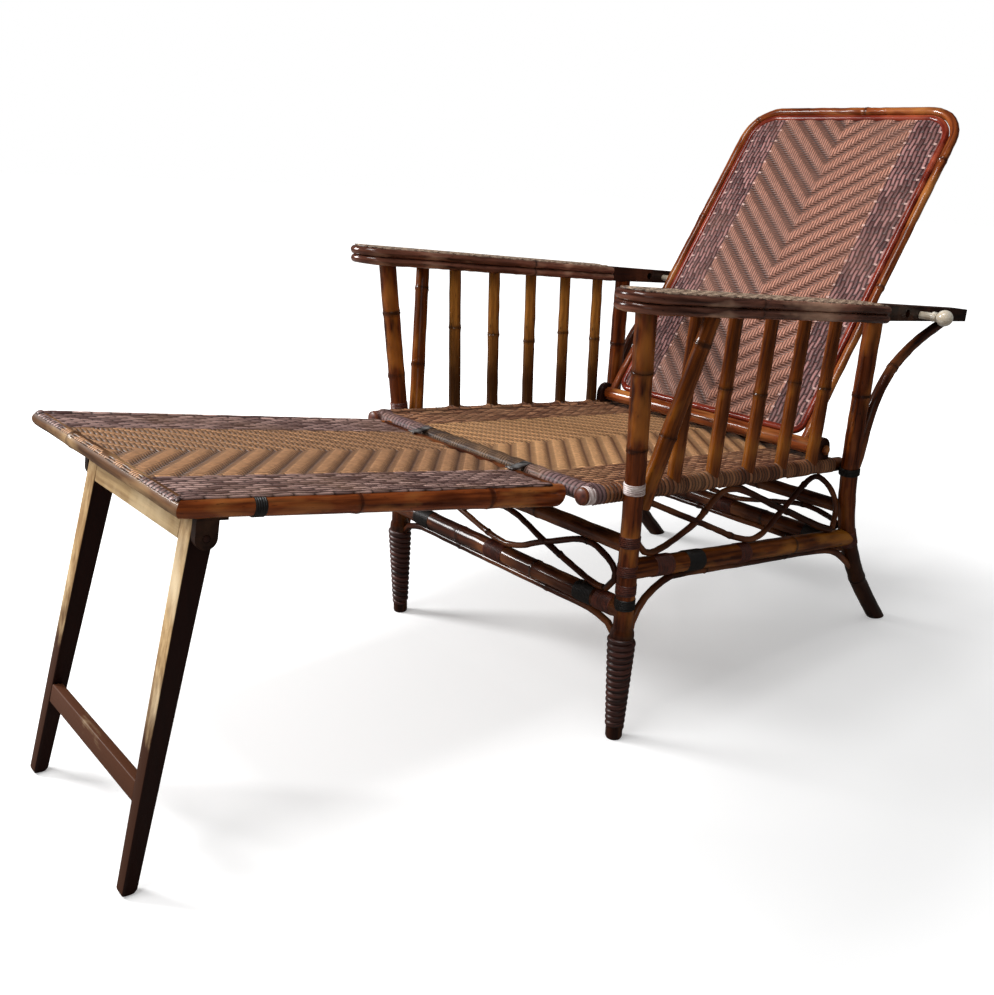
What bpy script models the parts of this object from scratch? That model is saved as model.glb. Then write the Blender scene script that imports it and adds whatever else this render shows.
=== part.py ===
"""Rattan chaise longue: a cane armchair with a folding back and a hooked-on footrest.

The sitter faces -Y, so the left side is +X. Sizes are in metres. Places are worked out with
y = 0 at the front feet and x = 0 on the plane of symmetry, and one empty then moves the whole
chair so that the origin lies under the middle of its box.
"""

import math

import bmesh
import bpy
import numpy as np
from mathutils import Vector

# Clearances
GAP = 0.0003  # between touching pieces
RUNNING_GAP = 0.0005  # round a pin or a sliding rod
PROP_REST_GAP = 0.0008  # between the back rest's hoop and the prop rod
CUT_BEYOND = 0.010  # a cutter reaches this far outside what it cuts

# Widths: each place across the chair follows from the back rest's width
BACK_WIDTH = 0.461
BACK_SHIFT = -0.009  # the old hoop sits a little off the middle
CHEEK_ROOM = 0.0127  # from a centred back's edge to a cheek's inner face, at the rear leg
TAB_THICKNESS = 0.012
SEAT_RAIL_RADIUS = 0.012
REAR_LEG_RADIUS = 0.015
REAR_LEG_X = BACK_WIDTH / 2 + CHEEK_ROOM + TAB_THICKNESS / 2 + SEAT_RAIL_RADIUS + GAP + REAR_LEG_RADIUS
FRONT_LEG_OUT = (-0.0085, -0.0065, 0.0035)  # its foot, knee and top, outwards from the rear leg
ARM_OUT = 0.0155
PEG_RAIL_OUT = 0.0215  # to its outer face
SPINDLE_TOP_OUT = -0.0145
FRONT_BRACE_OUT = (-0.0145, 0.0345)  # its foot and top
REAR_BRACE_OUT = 0.0065

# Front legs
FRONT_LEG_RADIUS = 0.014
FRONT_LEG_FOOT_Y = 0.0
FRONT_LEG_KNEE_Y = -0.008
FRONT_LEG_KNEE_HEIGHT = 0.380
FRONT_LEG_TOP_Y = -0.029
FRONT_LEG_NODES = (0.440, 0.545)  # heights
FOOT_RADIUS = 0.0125
FOOT_BARE_HEIGHT = 0.018
FOOT_SPARE = 0.015  # a leg is made this much longer, then cut level at the floor
ANKLE_RADIUS = 0.0195  # under the winding, where the under-rods' ends are bound in
ANKLE_HEIGHT = 0.166
ANKLE_SHOULDER = 0.010

# Winding of split cane round the front legs' ankles
WINDING_TURNS = 13
WINDING_POINTS_A_TURN = 14
WINDING_STRAND_RADIUS = 0.0046
WINDING_PROUD = 0.0015  # how far the strand stands out of the leg

# Rear legs
REAR_LEG_FOOT_RADIUS = 0.01455
REAR_LEG_CURVE = [  # y and z, from the floor up
    (0.734, 0.0),
    (0.685, 0.049),
    (0.630, 0.109),
    (0.585, 0.177),
    (0.561, 0.229),
    (0.543, 0.324),
    (0.541, 0.450),
]
REAR_LEG_TOP_Y = 0.541
REAR_LEG_NODES = (0.105, 0.455)  # heights
REAR_LEG_RING_HEIGHT = 0.322

# Arms
ARM_TOP_HEIGHT = 0.645  # at y = 0
ARM_DROP = 0.0723  # per metre towards the back
ARM_WIDTH = 0.082
ARM_THICKNESS = 0.0265
ARM_SEAT_DEPTH = 0.004  # an upright is made this much longer, then cut to the arm's underside
ARM_NOSE_Y = -0.044  # centre of the front half circle
ARM_RIM_END_Y = 0.485
ARM_NOSE_STEPS = 10
RIM_SPARE = 0.0001  # the rim's two rods are this much too thick, so that they melt into one
BOARD_SHOULDER = (-0.004, 0.012)  # the board narrows to the peg rail here, from the rim's end
PEG_RAIL_WIDTH = 0.032
PEG_RAIL_END_Y = 0.835
PEG_RAIL_TIP_THICKNESS = 0.021
PEG_RAIL_CORNER = 0.006
PEG_PITCH = 0.045
PEG_HOLES_BEFORE = 1
PEG_HOLES_BEHIND = 2
SPARE_HOLE_LIFT = 0.001

# Seat
SEAT_RAIL_HEIGHT = 0.371  # centre line at y = 0
SEAT_DROP = 0.080  # per metre towards the back
SEAT_FRONT_Y = -0.062
SEAT_FRONT_RAIL_RADIUS = 0.011
SEAT_REAR_Y = 0.524
SEAT_RAIL_NOSE_Y = -0.082
SEAT_RAIL_TAIL_Y = 0.552
SEAT_RAIL_NODE = 0.24  # along the rail
SEAT_PANEL_THICKNESS = 0.007
PANEL_SET_DOWN = 0.002  # woven panels lie this far below the top of their rails

# Spindles and braces
SPINDLE_COUNT = 5
SPINDLE_FIRST_Y = 0.098
SPINDLE_LAST_Y = 0.452
SPINDLE_RADIUS = 0.0105
SPINDLE_TOP_RADIUS = 0.0100
SPINDLE_NODE_SHARES = (0.62, 0.576, 0.532, 0.598, 0.554)  # of its length
SPINDLE_FOOT_OUT = 0.006  # outwards from the side rail's centre line
SPINDLE_FOOT_DOWN = 0.004
FRONT_BRACE_RADIUS = 0.0122
FRONT_BRACE_TOP_RADIUS = 0.0110
FRONT_BRACE_FOOT = (0.0205, 0.350)  # y and z
FRONT_BRACE_TOP_Y = 0.066
FRONT_BRACE_NODE = 0.105  # along it
REAR_BRACE_RADIUS = 0.0098
REAR_BRACE_TOP_RADIUS = 0.0083
REAR_BRACE_CURVE = [  # y and the depth below the arm's top, from the rear leg up
    (0.552, 0.2631),
    (0.561, 0.2104),
    (0.578, 0.1582),
    (0.611, 0.1128),
    (0.642, 0.0876),
    (0.690, 0.0591),
    (0.768, 0.0255),
]
REAR_BRACE_NODE = 0.17

# Stretchers, upper poles and under-rods
STRETCHER_RADIUS = 0.015
SIDE_STRETCHER_HEIGHT = 0.2655  # at y = 0
SIDE_STRETCHER_DROP = 0.122
SIDE_STRETCHER_END_Y = 0.573
SIDE_STRETCHER_NODE = 0.40
CROSS_STRETCHER_RADIUS = 0.0144
FRONT_STRETCHER_HEIGHT = 0.204
REAR_STRETCHER_HEIGHT = 0.176
UPPER_POLE_RADIUS = 0.012
FRONT_UPPER_HEIGHT = 0.300
REAR_UPPER_HEIGHT = 0.252
CROSS_POLE_NODES = (0.18, 0.36)
UNDER_ROD_RADIUS = 0.0055
UNDER_ROD_LEG_SHARE = 0.75  # its end lies at this share of the leg's radius
UNDER_ROD_FRONT_HEIGHT = 0.160  # where it leaves a front ankle
UNDER_ROD_REAR_HEIGHT = 0.112
UNDER_ROD_FRONT_REACH = 0.085  # from the ankle to where it meets the side stretcher
UNDER_ROD_REAR_REACH = 0.1615
UNDER_ROD_FRONT_KNEE = (0.022, 0.042)  # the bend between, along and up from the ankle
UNDER_ROD_REAR_KNEE = (0.060, 0.045)
UNDER_ROD_CROSS_REACH = 0.072  # the same for the front and rear ones
UNDER_ROD_CROSS_KNEE = (0.30, 0.72)  # shares of the reach and of the rise
UNDER_ROD_KNEE_BACK = 0.8  # share of the way from the ankle's y to the stretcher's

# Lattices, as shares of the span and of the height
LATTICE_ROD_RADIUS = 0.0048
LATTICE_FALL = (0.06, 0.87)  # the first rod starts and ends its dip here
LATTICE_RISE = (0.055, 0.90)  # the second rod starts and ends its arch here
LATTICE_HALFWAY = (0.42, 0.48, 0.52)  # heights of the knots between
LATTICE_CURL = [(0.965, 0.80), (1.0, 0.42), (0.965, 0.0)]
LATTICE_START = [(0.0, 0.62), (0.0, 0.25)]
LATTICE_END = [(0.90, 0.03), (0.955, 0.0)]
SIDE_LATTICE_TURNS = (0.51, 0.43)  # lowest point of the first rod, highest of the second
CROSS_LATTICE_TURNS = (0.53, 0.52)
LATTICE_TOP_OUT = 0.004  # outwards from the seat rail's centre line

# Bindings
BINDING_PROUD = 0.0015
BINDING_SLOPE = 0.0008
NODE_PROUD = 0.0009  # the ring at each joint of the cane
NODE_HALF_LENGTH = 0.004
LEG_BINDING_HALF = 0.008
LEG_BINDING_LIFTS = (0.011, 0.0, 0.008)  # above the front, the side and the upper pole
REAR_RING_HALF = 0.006
REAR_BINDING_HALF = 0.016
SIDE_STRETCHER_BINDINGS = ((0.048, 0.086), (0.120, 0.158), (0.246, 0.274))  # from the front leg
CROSS_STRETCHER_BINDINGS = ((0.045, 0.085), (0.250, 0.292), (0.440, 0.480))  # from the left leg

# Back rest
BACK_PIVOT_Y = 0.4865
BACK_PIVOT_HEIGHT = 0.3625
BACK_TILT = math.radians(34)
BACK_LENGTH = 0.681  # from the pivot to the top edge
BACK_CORNER_RADIUS = 0.072
BACK_CORNER_STEPS = 8
BACK_INNER_STEPS = 5
BACK_HOOP_RADIUS = 0.0078
BACK_HOOP_NODES = (0.56, 0.83, 1.07)
BACK_INNER_RADIUS = 0.0062
BACK_PANEL_THICKNESS = 0.006
BACK_FOOT_CORNER_RADIUS = 0.018
PIVOT_RAIL_RADIUS = 0.0130
PIVOT_RAIL_END_RADIUS = 0.0117
PIVOT_RAIL_ROUNDING = 0.004
PIVOT_PIN_RADIUS = 0.0060
PIVOT_STEP = 0.0002  # along the pin, between two radii
PIVOT_KNOB_RADIUS = 0.0085
PIVOT_KNOB_LENGTH = 0.008
PIVOT_KNOB_END_RADIUS = 0.006
PIVOT_KNOB_ROUNDING = 0.002
TAB_RADIUS = 0.020
TAB_FOOT_DOWN = 0.0072  # below the side rail's centre line

# Prop rod
PROP_ROD_RADIUS = 0.0062
PROP_ROD_END_RADIUS = 0.0043
PROP_ROD_ROUNDING = 0.002
PROP_COLLAR_RADIUS = 0.0084
PROP_COLLAR = (0.008, 0.001)  # where it starts and ends, from the knob
PROP_KNOB_RADIUS = 0.0135
PROP_KNOB_STEPS = 8
PROP_KNOB_FLAT = 0.002
PROP_KNOB_STAND_OFF = 0.042  # knob centre from the peg rail's outer face
PROP_TAIL = 0.009  # beyond the other peg rail

# Footrest, in its own frame: the origin on the seat's front rail, -Y out towards the feet
FOOTREST_RISE = math.radians(8.1)
FOOTREST_LENGTH = 0.556  # from the hook axis to the foot rail's outer edge
FOOTREST_WIDTH = 0.430
FOOTREST_TOP = 0.0045  # the rails' tops lie this far above the hook axis
FOOTREST_RAIL_RADII = (0.0155, 0.0100)  # the side canes taper from the seat to the foot
FOOTREST_RAIL_OVERLAP = 0.0042  # of a side rail past the end rail's centre line
FOOTREST_RAIL_NODES = (0.135, 0.33)
FOOTREST_RAIL_BINDING = (0.445, 0.459)
FOOTREST_BINDING_PROUD = 0.00075
FOOTREST_END_RAIL_RADIUS = 0.0105
FOOTREST_SEAM = 0.0035  # between the end rail and the seat's front rail
FOOTREST_FOOT_RAIL_RADIUS = 0.0085
HOOK_X = 0.115
HOOK_WIDTH = 0.015
HOOK_THICKNESS = 0.002
HOOK_WRAP = math.radians(115)  # from the top of the rail down behind it
HOOK_SLOT_DEPTH = 0.010
HOOK_SLOT_SIDE = 0.002
HOOK_TAIL = 0.010  # along the end rail's far side
HOOK_STEPS = 8

# Footrest legs, in their own frame: the origin on the pin, -Z down the leg
LEG_PIN_OUT = 0.5124  # from the hook axis along the footrest
LEG_PIN_DROP = 0.0421  # below the hook axis's plane
LEG_LEAN = math.radians(13.6)  # from upright
LEG_TOP_DEPTH = 0.026
LEG_FOOT_DEPTH = 0.0165
LEG_TOP_WIDTH = 0.027
LEG_FOOT_WIDTH = 0.0175
LEG_INSETS_TOP = (0.030, 0.114)  # left and right: a leg's outer face from the footrest's edge
LEG_INSETS_FOOT = (0.044, 0.074)  # the old leg frame sits off the middle and leans
LEG_HEAD_LENGTH = 0.026  # above the pin
LEG_HEAD_BACK = 0.001
LEG_TAPER_START = 0.012  # below the pin
LEG_NOSE_RADIUS = 0.0128
LEG_PIN_RADIUS = 0.004
LEG_BAR_HEIGHT = 0.022
LEG_BAR_DEPTH = 0.018
LEG_BAR_FORWARD = 0.0040
LEG_STRETCHER_DOWN = 0.298
LEG_STRETCHER_HEIGHT = 0.024
LEG_STRETCHER_DEPTH = 0.013
LEG_STRETCHER_INSET = 0.001
BATTEN_THICKNESS = 0.015
BATTEN_DEPTH = 0.034
EAR_THICKNESS = 0.0095
EAR_RADIUS = 0.0125
EAR_ROOT = 0.004  # of an ear inside the batten
EAR_SWEEP = 1.2  # radii below the pin that the turning leg passes beside the ear

ROUND_STEPS = 12  # in half a circle
LEG_NOSE_STEPS = 6
LEG_ROUTE_STEPS = 2  # points between two knots of a bent cane
UNDER_ROD_STEPS = 3
FINE = 4  # bevel_resolution for 12 sides
PLAIN = 3  # 10 sides
THIN = 2  # 8 sides
WIRE = 1  # 6 sides
SHARP_ANGLE = math.radians(40)
WELD_DISTANCE = 1e-5

COLOURS = {
    "cane": ((0.330, 0.110, 0.035), 0.35),
    "dark_cane": ((0.060, 0.022, 0.012), 0.40),
    "amber_cane": ((0.420, 0.170, 0.050), 0.35),
    "weave": ((0.400, 0.200, 0.120), 0.65),
    "red_rod": ((0.250, 0.035, 0.018), 0.35),
    "leg_wood": ((0.200, 0.110, 0.060), 0.45),
    "pale_cane": ((0.600, 0.430, 0.240), 0.45),
    "knob": ((0.780, 0.760, 0.700), 0.30),
    "steel": ((0.420, 0.420, 0.430), 0.35),
}

for old in list(bpy.data.objects):
    bpy.data.objects.remove(old, do_unlink=True)

parts = bpy.data.collections.new("rattan_chaise_longue")
cutters = bpy.data.collections.new("cutters")
for made in (parts, cutters):
    bpy.context.scene.collection.children.link(made)


def material(slot):
    """One Principled material for each finish."""
    found = bpy.data.materials.get(slot)
    if found:
        return found
    colour, roughness = COLOURS[slot]
    made = bpy.data.materials.new(slot)
    made.use_nodes = True
    shader = made.node_tree.nodes["Principled BSDF"]
    shader.inputs["Base Color"].default_value = (*colour, 1.0)
    shader.inputs["Roughness"].default_value = roughness
    shader.inputs["Metallic"].default_value = 1.0 if slot == "steel" else 0.0
    return made


def empty(name, location, tilt=0.0, parent=None):
    """An axis: what hangs on it is modelled from its origin."""
    made = bpy.data.objects.new(name, None)
    made.location = location
    made.rotation_euler = (tilt, 0.0, 0.0)
    made.empty_display_size = 0.05
    made.parent = parent
    parts.objects.link(made)
    return made


def add(name, mesh, slot, parent, smooth=True):
    """A finished mesh as a node, or as a cutter where it has no finish."""
    made = bpy.data.objects.new(name, mesh)
    made.parent = parent
    if slot:
        mesh.materials.append(material(slot))
        parts.objects.link(made)
        if smooth:
            mesh.shade_smooth()
            mesh.set_sharp_from_angle(angle=SHARP_ANGLE)
    else:
        made.hide_render = True
        made.display_type = "WIRE"
        cutters.objects.link(made)
    return made


def mesh_of_curve(curve):
    """The curve's solid as a mesh with its caps welded on."""
    holder = bpy.data.objects.new("holder", curve)
    bpy.context.scene.collection.objects.link(holder)
    graph = bpy.context.evaluated_depsgraph_get()
    mesh = bpy.data.meshes.new_from_object(holder.evaluated_get(graph))
    bpy.data.objects.remove(holder)
    bpy.data.curves.remove(curve)
    shape = bmesh.new()
    shape.from_mesh(mesh)
    bmesh.ops.remove_doubles(shape, verts=shape.verts, dist=WELD_DISTANCE)
    bmesh.ops.recalc_face_normals(shape, faces=shape.faces)
    shape.to_mesh(mesh)
    shape.free()
    return mesh


def tube_mesh(points, radii, resolution, closed=False):
    """A round rod through the points, with its own radius at each."""
    curve = bpy.data.curves.new("rod", "CURVE")
    curve.dimensions = "3D"
    curve.bevel_depth = 1.0
    curve.bevel_resolution = resolution
    curve.use_fill_caps = not closed
    spline = curve.splines.new("POLY")
    spline.points.add(len(points) - 1)
    for point, place, radius in zip(spline.points, points, radii):
        point.co = (*place, 1.0)
        point.radius = radius
    spline.use_cyclic_u = closed
    return mesh_of_curve(curve)


def plate_mesh(outline, thickness):
    """A flat outline in X and Y with its thickness along Z, half on each side."""
    curve = bpy.data.curves.new("outline", "CURVE")
    curve.dimensions = "2D"
    curve.fill_mode = "BOTH"
    curve.extrude = thickness / 2
    spline = curve.splines.new("POLY")
    spline.points.add(len(outline) - 1)
    for point, place in zip(spline.points, outline):
        point.co = (*place, 0.0, 1.0)
    spline.use_cyclic_u = True
    return mesh_of_curve(curve)


def box_mesh(low, high):
    """A box between two corners."""
    shape = bmesh.new()
    bmesh.ops.create_cube(shape, size=1.0)
    low = Vector(low)
    high = Vector(high)
    bmesh.ops.scale(shape, vec=high - low, verts=shape.verts)
    bmesh.ops.translate(shape, vec=(low + high) / 2, verts=shape.verts)
    mesh = bpy.data.meshes.new("box")
    shape.to_mesh(mesh)
    shape.free()
    return mesh


def moved(mesh, rule):
    """The mesh with each of its points sent through the rule."""
    for vertex in mesh.vertices:
        vertex.co = rule(*vertex.co)
    shape = bmesh.new()
    shape.from_mesh(mesh)
    bmesh.ops.recalc_face_normals(shape, faces=shape.faces)
    shape.to_mesh(mesh)
    shape.free()
    return mesh


def smooth_route(points, steps):
    """Points along one smooth curve through the given ones."""
    points = [Vector(point) for point in points]
    ends = [2 * points[0] - points[1]] + points + [2 * points[-1] - points[-2]]
    route = []
    for before, start, end, after in zip(ends, ends[1:], ends[2:], ends[3:]):
        for step in range(steps):
            t = step / steps
            route.append(
                0.5
                * (
                    2 * start
                    + (end - before) * t
                    + (2 * before - 5 * start + 4 * end - after) * t * t
                    + (3 * start - before - 3 * end + after) * t * t * t
                )
            )
    return route + [points[-1]]


def lengths_along(route):
    """The distance of each point from the route's start."""
    found = [0.0]
    for start, end in zip(route, route[1:]):
        found.append(found[-1] + (end - start).length)
    return found


def point_at(route, distance):
    """The point this far along the route."""
    lengths = lengths_along(route)
    for i in range(len(route) - 1):
        if distance <= lengths[i + 1] or i == len(route) - 2:
            span = lengths[i + 1] - lengths[i]
            return route[i].lerp(route[i + 1], (distance - lengths[i]) / span)


def distance_to(route, height):
    """How far along a rising route it reaches this height."""
    return float(np.interp(height, [point.z for point in route], lengths_along(route)))


ROD_SHAPES = {}


def rod(name, route, radii, slot, parent, resolution=THIN, bindings=(), nodes=()):
    """A cane with raised bindings, each from one distance to another, and rings at its joints."""
    route = [Vector(point) for point in route]
    lengths = lengths_along(route)
    total = lengths[-1]
    stations = set(lengths)
    for start, end, _ in bindings:
        stations |= {start - BINDING_SLOPE, start, end, end + BINDING_SLOPE}
    for node in nodes:
        stations |= {node - NODE_HALF_LENGTH, node, node + NODE_HALF_LENGTH}
    stations = sorted(s for s in stations if 0 <= s <= total)
    kept = [stations[0]]
    for station in stations[1:]:
        if station - kept[-1] > BINDING_SLOPE / 2:
            kept.append(station)

    def radius(distance):
        share = distance / total
        size = radii[0] + (radii[-1] - radii[0]) * share
        for node in nodes:
            size += NODE_PROUD * max(0.0, 1 - abs(distance - node) / NODE_HALF_LENGTH)
        extra = 0.0
        for start, end, proud in bindings:
            if start - 1e-6 <= distance <= end + 1e-6:
                extra = max(extra, proud)
        return size + extra

    places = [point_at(route, station) for station in kept]
    sizes = [radius(station) for station in kept]
    ROD_SHAPES[name] = (places, sizes, resolution, parent)
    return add(name, tube_mesh(places, sizes, resolution), slot, parent)


def grown(name):
    """The cutter that leaves room for a rod: the rod itself, larger by the gap."""
    found = bpy.data.objects.get("room_for_" + name)
    if found:
        return found
    places, sizes, resolution, parent = ROD_SHAPES[name]
    mesh = tube_mesh(places, [size + GAP for size in sizes], resolution)
    return add("room_for_" + name, mesh, None, parent)


def cut(piece, *tools):
    """Takes each tool away from the piece. A name means the room for that rod."""
    for tool in tools:
        step = piece.modifiers.new("cut", "BOOLEAN")
        step.operation = "DIFFERENCE"
        step.object = grown(tool) if isinstance(tool, str) else tool


def join(piece, *tools):
    """Makes one body of the piece and the tools."""
    for tool in tools:
        step = piece.modifiers.new("join", "BOOLEAN")
        step.operation = "UNION"
        step.object = tool


def arm_height(y):
    """The arm's top at this y."""
    return ARM_TOP_HEIGHT - ARM_DROP * y


def upright_top(y):
    """Where an upright under the arm ends before it is cut."""
    return arm_height(y) - ARM_THICKNESS + ARM_SEAT_DEPTH


def seat_height(y):
    """The centre line of the seat's side rail at this y."""
    return SEAT_RAIL_HEIGHT - SEAT_DROP * y


def side_stretcher_height(y):
    """The centre line of the side stretcher at this y."""
    return SIDE_STRETCHER_HEIGHT - SIDE_STRETCHER_DROP * y


ARM_X = REAR_LEG_X + ARM_OUT
PEG_RAIL_OUTER_X = REAR_LEG_X + PEG_RAIL_OUT
ARM_MIDDLE_DOWN = ARM_THICKNESS / 2
RIM_RADIUS = ARM_THICKNESS / 4 + RIM_SPARE
RIM_HALF_WIDTH = ARM_WIDTH / 2 - RIM_RADIUS
BOARD_HALF_WIDTH = RIM_HALF_WIDTH - RIM_RADIUS - GAP

# The prop rod lies in the peg rail's middle, where the back rest's hoop leans on it.
tilt_slope = math.tan(BACK_TILT)
reach = (BACK_HOOP_RADIUS + PROP_ROD_RADIUS + PROP_REST_GAP) / math.cos(BACK_TILT)
PROP_Y = (
    BACK_PIVOT_Y + (ARM_TOP_HEIGHT - ARM_MIDDLE_DOWN - BACK_PIVOT_HEIGHT) * tilt_slope + reach
) / (1 + ARM_DROP * tilt_slope)
PROP_HEIGHT = arm_height(PROP_Y) - ARM_MIDDLE_DOWN
PROP_KNOB_X = PEG_RAIL_OUTER_X + PROP_KNOB_STAND_OFF

# The footrest's pin and the length of the legs that hang on it
seat_front_height = seat_height(SEAT_FRONT_Y)
pin_out = LEG_PIN_OUT * math.cos(FOOTREST_RISE) + LEG_PIN_DROP * math.sin(FOOTREST_RISE)
pin_height = (
    seat_front_height + LEG_PIN_OUT * math.sin(FOOTREST_RISE) - LEG_PIN_DROP * math.cos(FOOTREST_RISE)
)
leg_length = pin_height / math.cos(LEG_LEAN)

# The chair's box, for the origin under its middle
back_top_y = BACK_PIVOT_Y + (BACK_LENGTH - BACK_HOOP_RADIUS) * math.sin(BACK_TILT) + BACK_HOOP_RADIUS
leg_foot_y = (
    SEAT_FRONT_Y - pin_out - pin_height * math.tan(LEG_LEAN) - LEG_FOOT_DEPTH / 2 / math.cos(LEG_LEAN)
)
knob_end_x = PROP_KNOB_X + PROP_KNOB_RADIUS
arm_edge_x = ARM_X + ARM_WIDTH / 2
ORIGIN_X = (knob_end_x - arm_edge_x) / 2
ORIGIN_Y = (back_top_y + leg_foot_y) / 2

origin = empty("chair_origin", (-ORIGIN_X, -ORIGIN_Y, 0.0))
back_axis = empty("back_axis", (0.0, BACK_PIVOT_Y, BACK_PIVOT_HEIGHT), -BACK_TILT, origin)
prop_axis = empty("prop_axis", (0.0, PROP_Y, PROP_HEIGHT), 0.0, origin)
footrest_axis = empty("footrest_axis", (0.0, SEAT_FRONT_Y, seat_front_height), -FOOTREST_RISE, origin)
leg_axis = empty(
    "leg_axis", (0.0, -LEG_PIN_OUT, -LEG_PIN_DROP), FOOTREST_RISE - LEG_LEAN, footrest_axis
)

SIDES = ((1, "left"), (-1, "right"))


def half_circle(start, steps):
    """Angles from this one through half a circle."""
    return [start + math.pi * step / steps for step in range(steps + 1)]


def front_leg_route(side):
    """The leg's centre line, from below the floor up into the arm."""
    foot_x, knee_x, top_x = [side * (REAR_LEG_X + out) for out in FRONT_LEG_OUT]
    return [
        Vector((foot_x, FRONT_LEG_FOOT_Y, -FOOT_SPARE)),
        Vector((knee_x, FRONT_LEG_KNEE_Y, FRONT_LEG_KNEE_HEIGHT)),
        Vector((top_x, FRONT_LEG_TOP_Y, upright_top(FRONT_LEG_TOP_Y))),
    ]


def rear_leg_route(side):
    """The bent leg's centre line, from below the floor up into the peg rail."""
    foot_y, foot_z = REAR_LEG_CURVE[0]
    next_y, next_z = REAR_LEG_CURVE[1]
    slant = (foot_y - next_y) / (next_z - foot_z)
    below = (foot_y + slant * FOOT_SPARE, foot_z - FOOT_SPARE)
    top = (REAR_LEG_TOP_Y, upright_top(REAR_LEG_TOP_Y))
    points = [below] + REAR_LEG_CURVE + [top]
    return smooth_route([(side * REAR_LEG_X, y, z) for y, z in points], LEG_ROUTE_STEPS)


def leg_point(route, height):
    """The leg's centre at this height."""
    return point_at(route, distance_to(route, height))


def board_outline(grow):
    """The arm board from above: a round-nosed plank that narrows to the peg rail."""
    half = BOARD_HALF_WIDTH + grow
    outline = []
    for angle in half_circle(math.pi, ARM_NOSE_STEPS):
        outline.append((ARM_X + half * math.cos(angle), ARM_NOSE_Y + half * math.sin(angle)))
    outer = PEG_RAIL_OUTER_X + grow
    inner = PEG_RAIL_OUTER_X - PEG_RAIL_WIDTH - grow
    wide_end, narrow_start = [ARM_RIM_END_Y + place for place in BOARD_SHOULDER]
    tip = PEG_RAIL_END_Y + grow
    outline += [
        (ARM_X + half, wide_end),
        (outer, narrow_start + grow),
        (outer, PEG_RAIL_END_Y - PEG_RAIL_CORNER),
        (outer - PEG_RAIL_CORNER, tip),
        (inner + PEG_RAIL_CORNER, tip),
        (inner, PEG_RAIL_END_Y - PEG_RAIL_CORNER),
        (inner, narrow_start + grow),
        (ARM_X - half, wide_end),
    ]
    return outline


def board_mesh(side, grow):
    """The arm board in place: sloped like the arm, thinner towards the tip."""
    mesh = plate_mesh(board_outline(grow), ARM_THICKNESS + 2 * grow)
    loss = ARM_THICKNESS - PEG_RAIL_TIP_THICKNESS

    def place(x, y, z):
        share = max(0.0, (y - REAR_LEG_TOP_Y) / (PEG_RAIL_END_Y - REAR_LEG_TOP_Y))
        if z < 0:
            z += loss * min(1.0, share)
        return (side * x, y, arm_height(y) - ARM_MIDDLE_DOWN + z)

    return moved(mesh, place)


def rim_mesh(side, lift, grow):
    """One rod of the arm's rim, from the back along the inside, round the nose and back."""
    route = [(ARM_X - RIM_HALF_WIDTH, ARM_RIM_END_Y)]
    for angle in half_circle(math.pi, ARM_NOSE_STEPS):
        out = RIM_HALF_WIDTH * math.cos(angle)
        route.append((ARM_X + out, ARM_NOSE_Y + RIM_HALF_WIDTH * math.sin(angle)))
    route.append((ARM_X + RIM_HALF_WIDTH, ARM_RIM_END_Y))
    places = [(side * x, y, arm_height(y) - ARM_MIDDLE_DOWN + lift) for x, y in route]
    return tube_mesh(places, [RIM_RADIUS + grow] * len(places), THIN)


def ankle_radius(height):
    """The leg under the winding, full at the top and tapering to the foot."""
    share = (height - FOOT_BARE_HEIGHT) / (ANKLE_HEIGHT - FOOT_BARE_HEIGHT)
    return FOOT_RADIUS + (ANKLE_RADIUS - FOOT_RADIUS) * min(1.0, max(0.0, share))


def winding_points(side):
    """The strand's centre line: a helix that follows the taper of the ankle."""
    points = []
    total = WINDING_TURNS * WINDING_POINTS_A_TURN
    low = FOOT_BARE_HEIGHT + WINDING_STRAND_RADIUS
    high = ANKLE_HEIGHT - WINDING_STRAND_RADIUS
    depth = WINDING_STRAND_RADIUS - WINDING_PROUD
    route = front_leg_route(side)
    for step in range(total + 1):
        share = step / total
        height = low + (high - low) * share
        radius = ankle_radius(height) - depth
        angle = side * 2 * math.pi * WINDING_TURNS * share
        turn = Vector((radius * math.cos(angle), radius * math.sin(angle), 0.0))
        points.append(leg_point(route, height) + turn)
    return points


def winding_gap():
    """The least gap of the strand to itself, between points over half a turn apart."""
    points = np.array(winding_points(1))
    order = np.arange(len(points))
    apart = abs(order[:, None] - order[None, :]) > WINDING_POINTS_A_TURN / 2
    distance = np.linalg.norm(points[:, None] - points[None, :], axis=2)
    return distance[apart].min() - 2 * WINDING_STRAND_RADIUS


def front_leg_sections():
    """Height and radius of each section of a front leg, from the foot up."""
    full = FRONT_LEG_RADIUS
    sections = [
        (-FOOT_SPARE, FOOT_RADIUS),
        (FOOT_BARE_HEIGHT, FOOT_RADIUS),
        (ANKLE_HEIGHT, ANKLE_RADIUS),
        (ANKLE_HEIGHT + ANKLE_SHOULDER, full),
        (FRONT_LEG_KNEE_HEIGHT, full),
        (upright_top(FRONT_LEG_TOP_Y), full),
    ]
    poles = (FRONT_STRETCHER_HEIGHT, side_stretcher_height(FRONT_LEG_FOOT_Y), FRONT_UPPER_HEIGHT)
    for pole, lift in zip(poles, LEG_BINDING_LIFTS):
        low = pole + lift - LEG_BINDING_HALF
        high = pole + lift + LEG_BINDING_HALF
        sections += [
            (low, full),
            (low + BINDING_SLOPE, full + BINDING_PROUD),
            (high - BINDING_SLOPE, full + BINDING_PROUD),
            (high, full),
        ]
    for node in FRONT_LEG_NODES:
        sections += [
            (node - NODE_HALF_LENGTH, full),
            (node, full + NODE_PROUD),
            (node + NODE_HALF_LENGTH, full),
        ]
    return sorted(sections)


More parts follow.
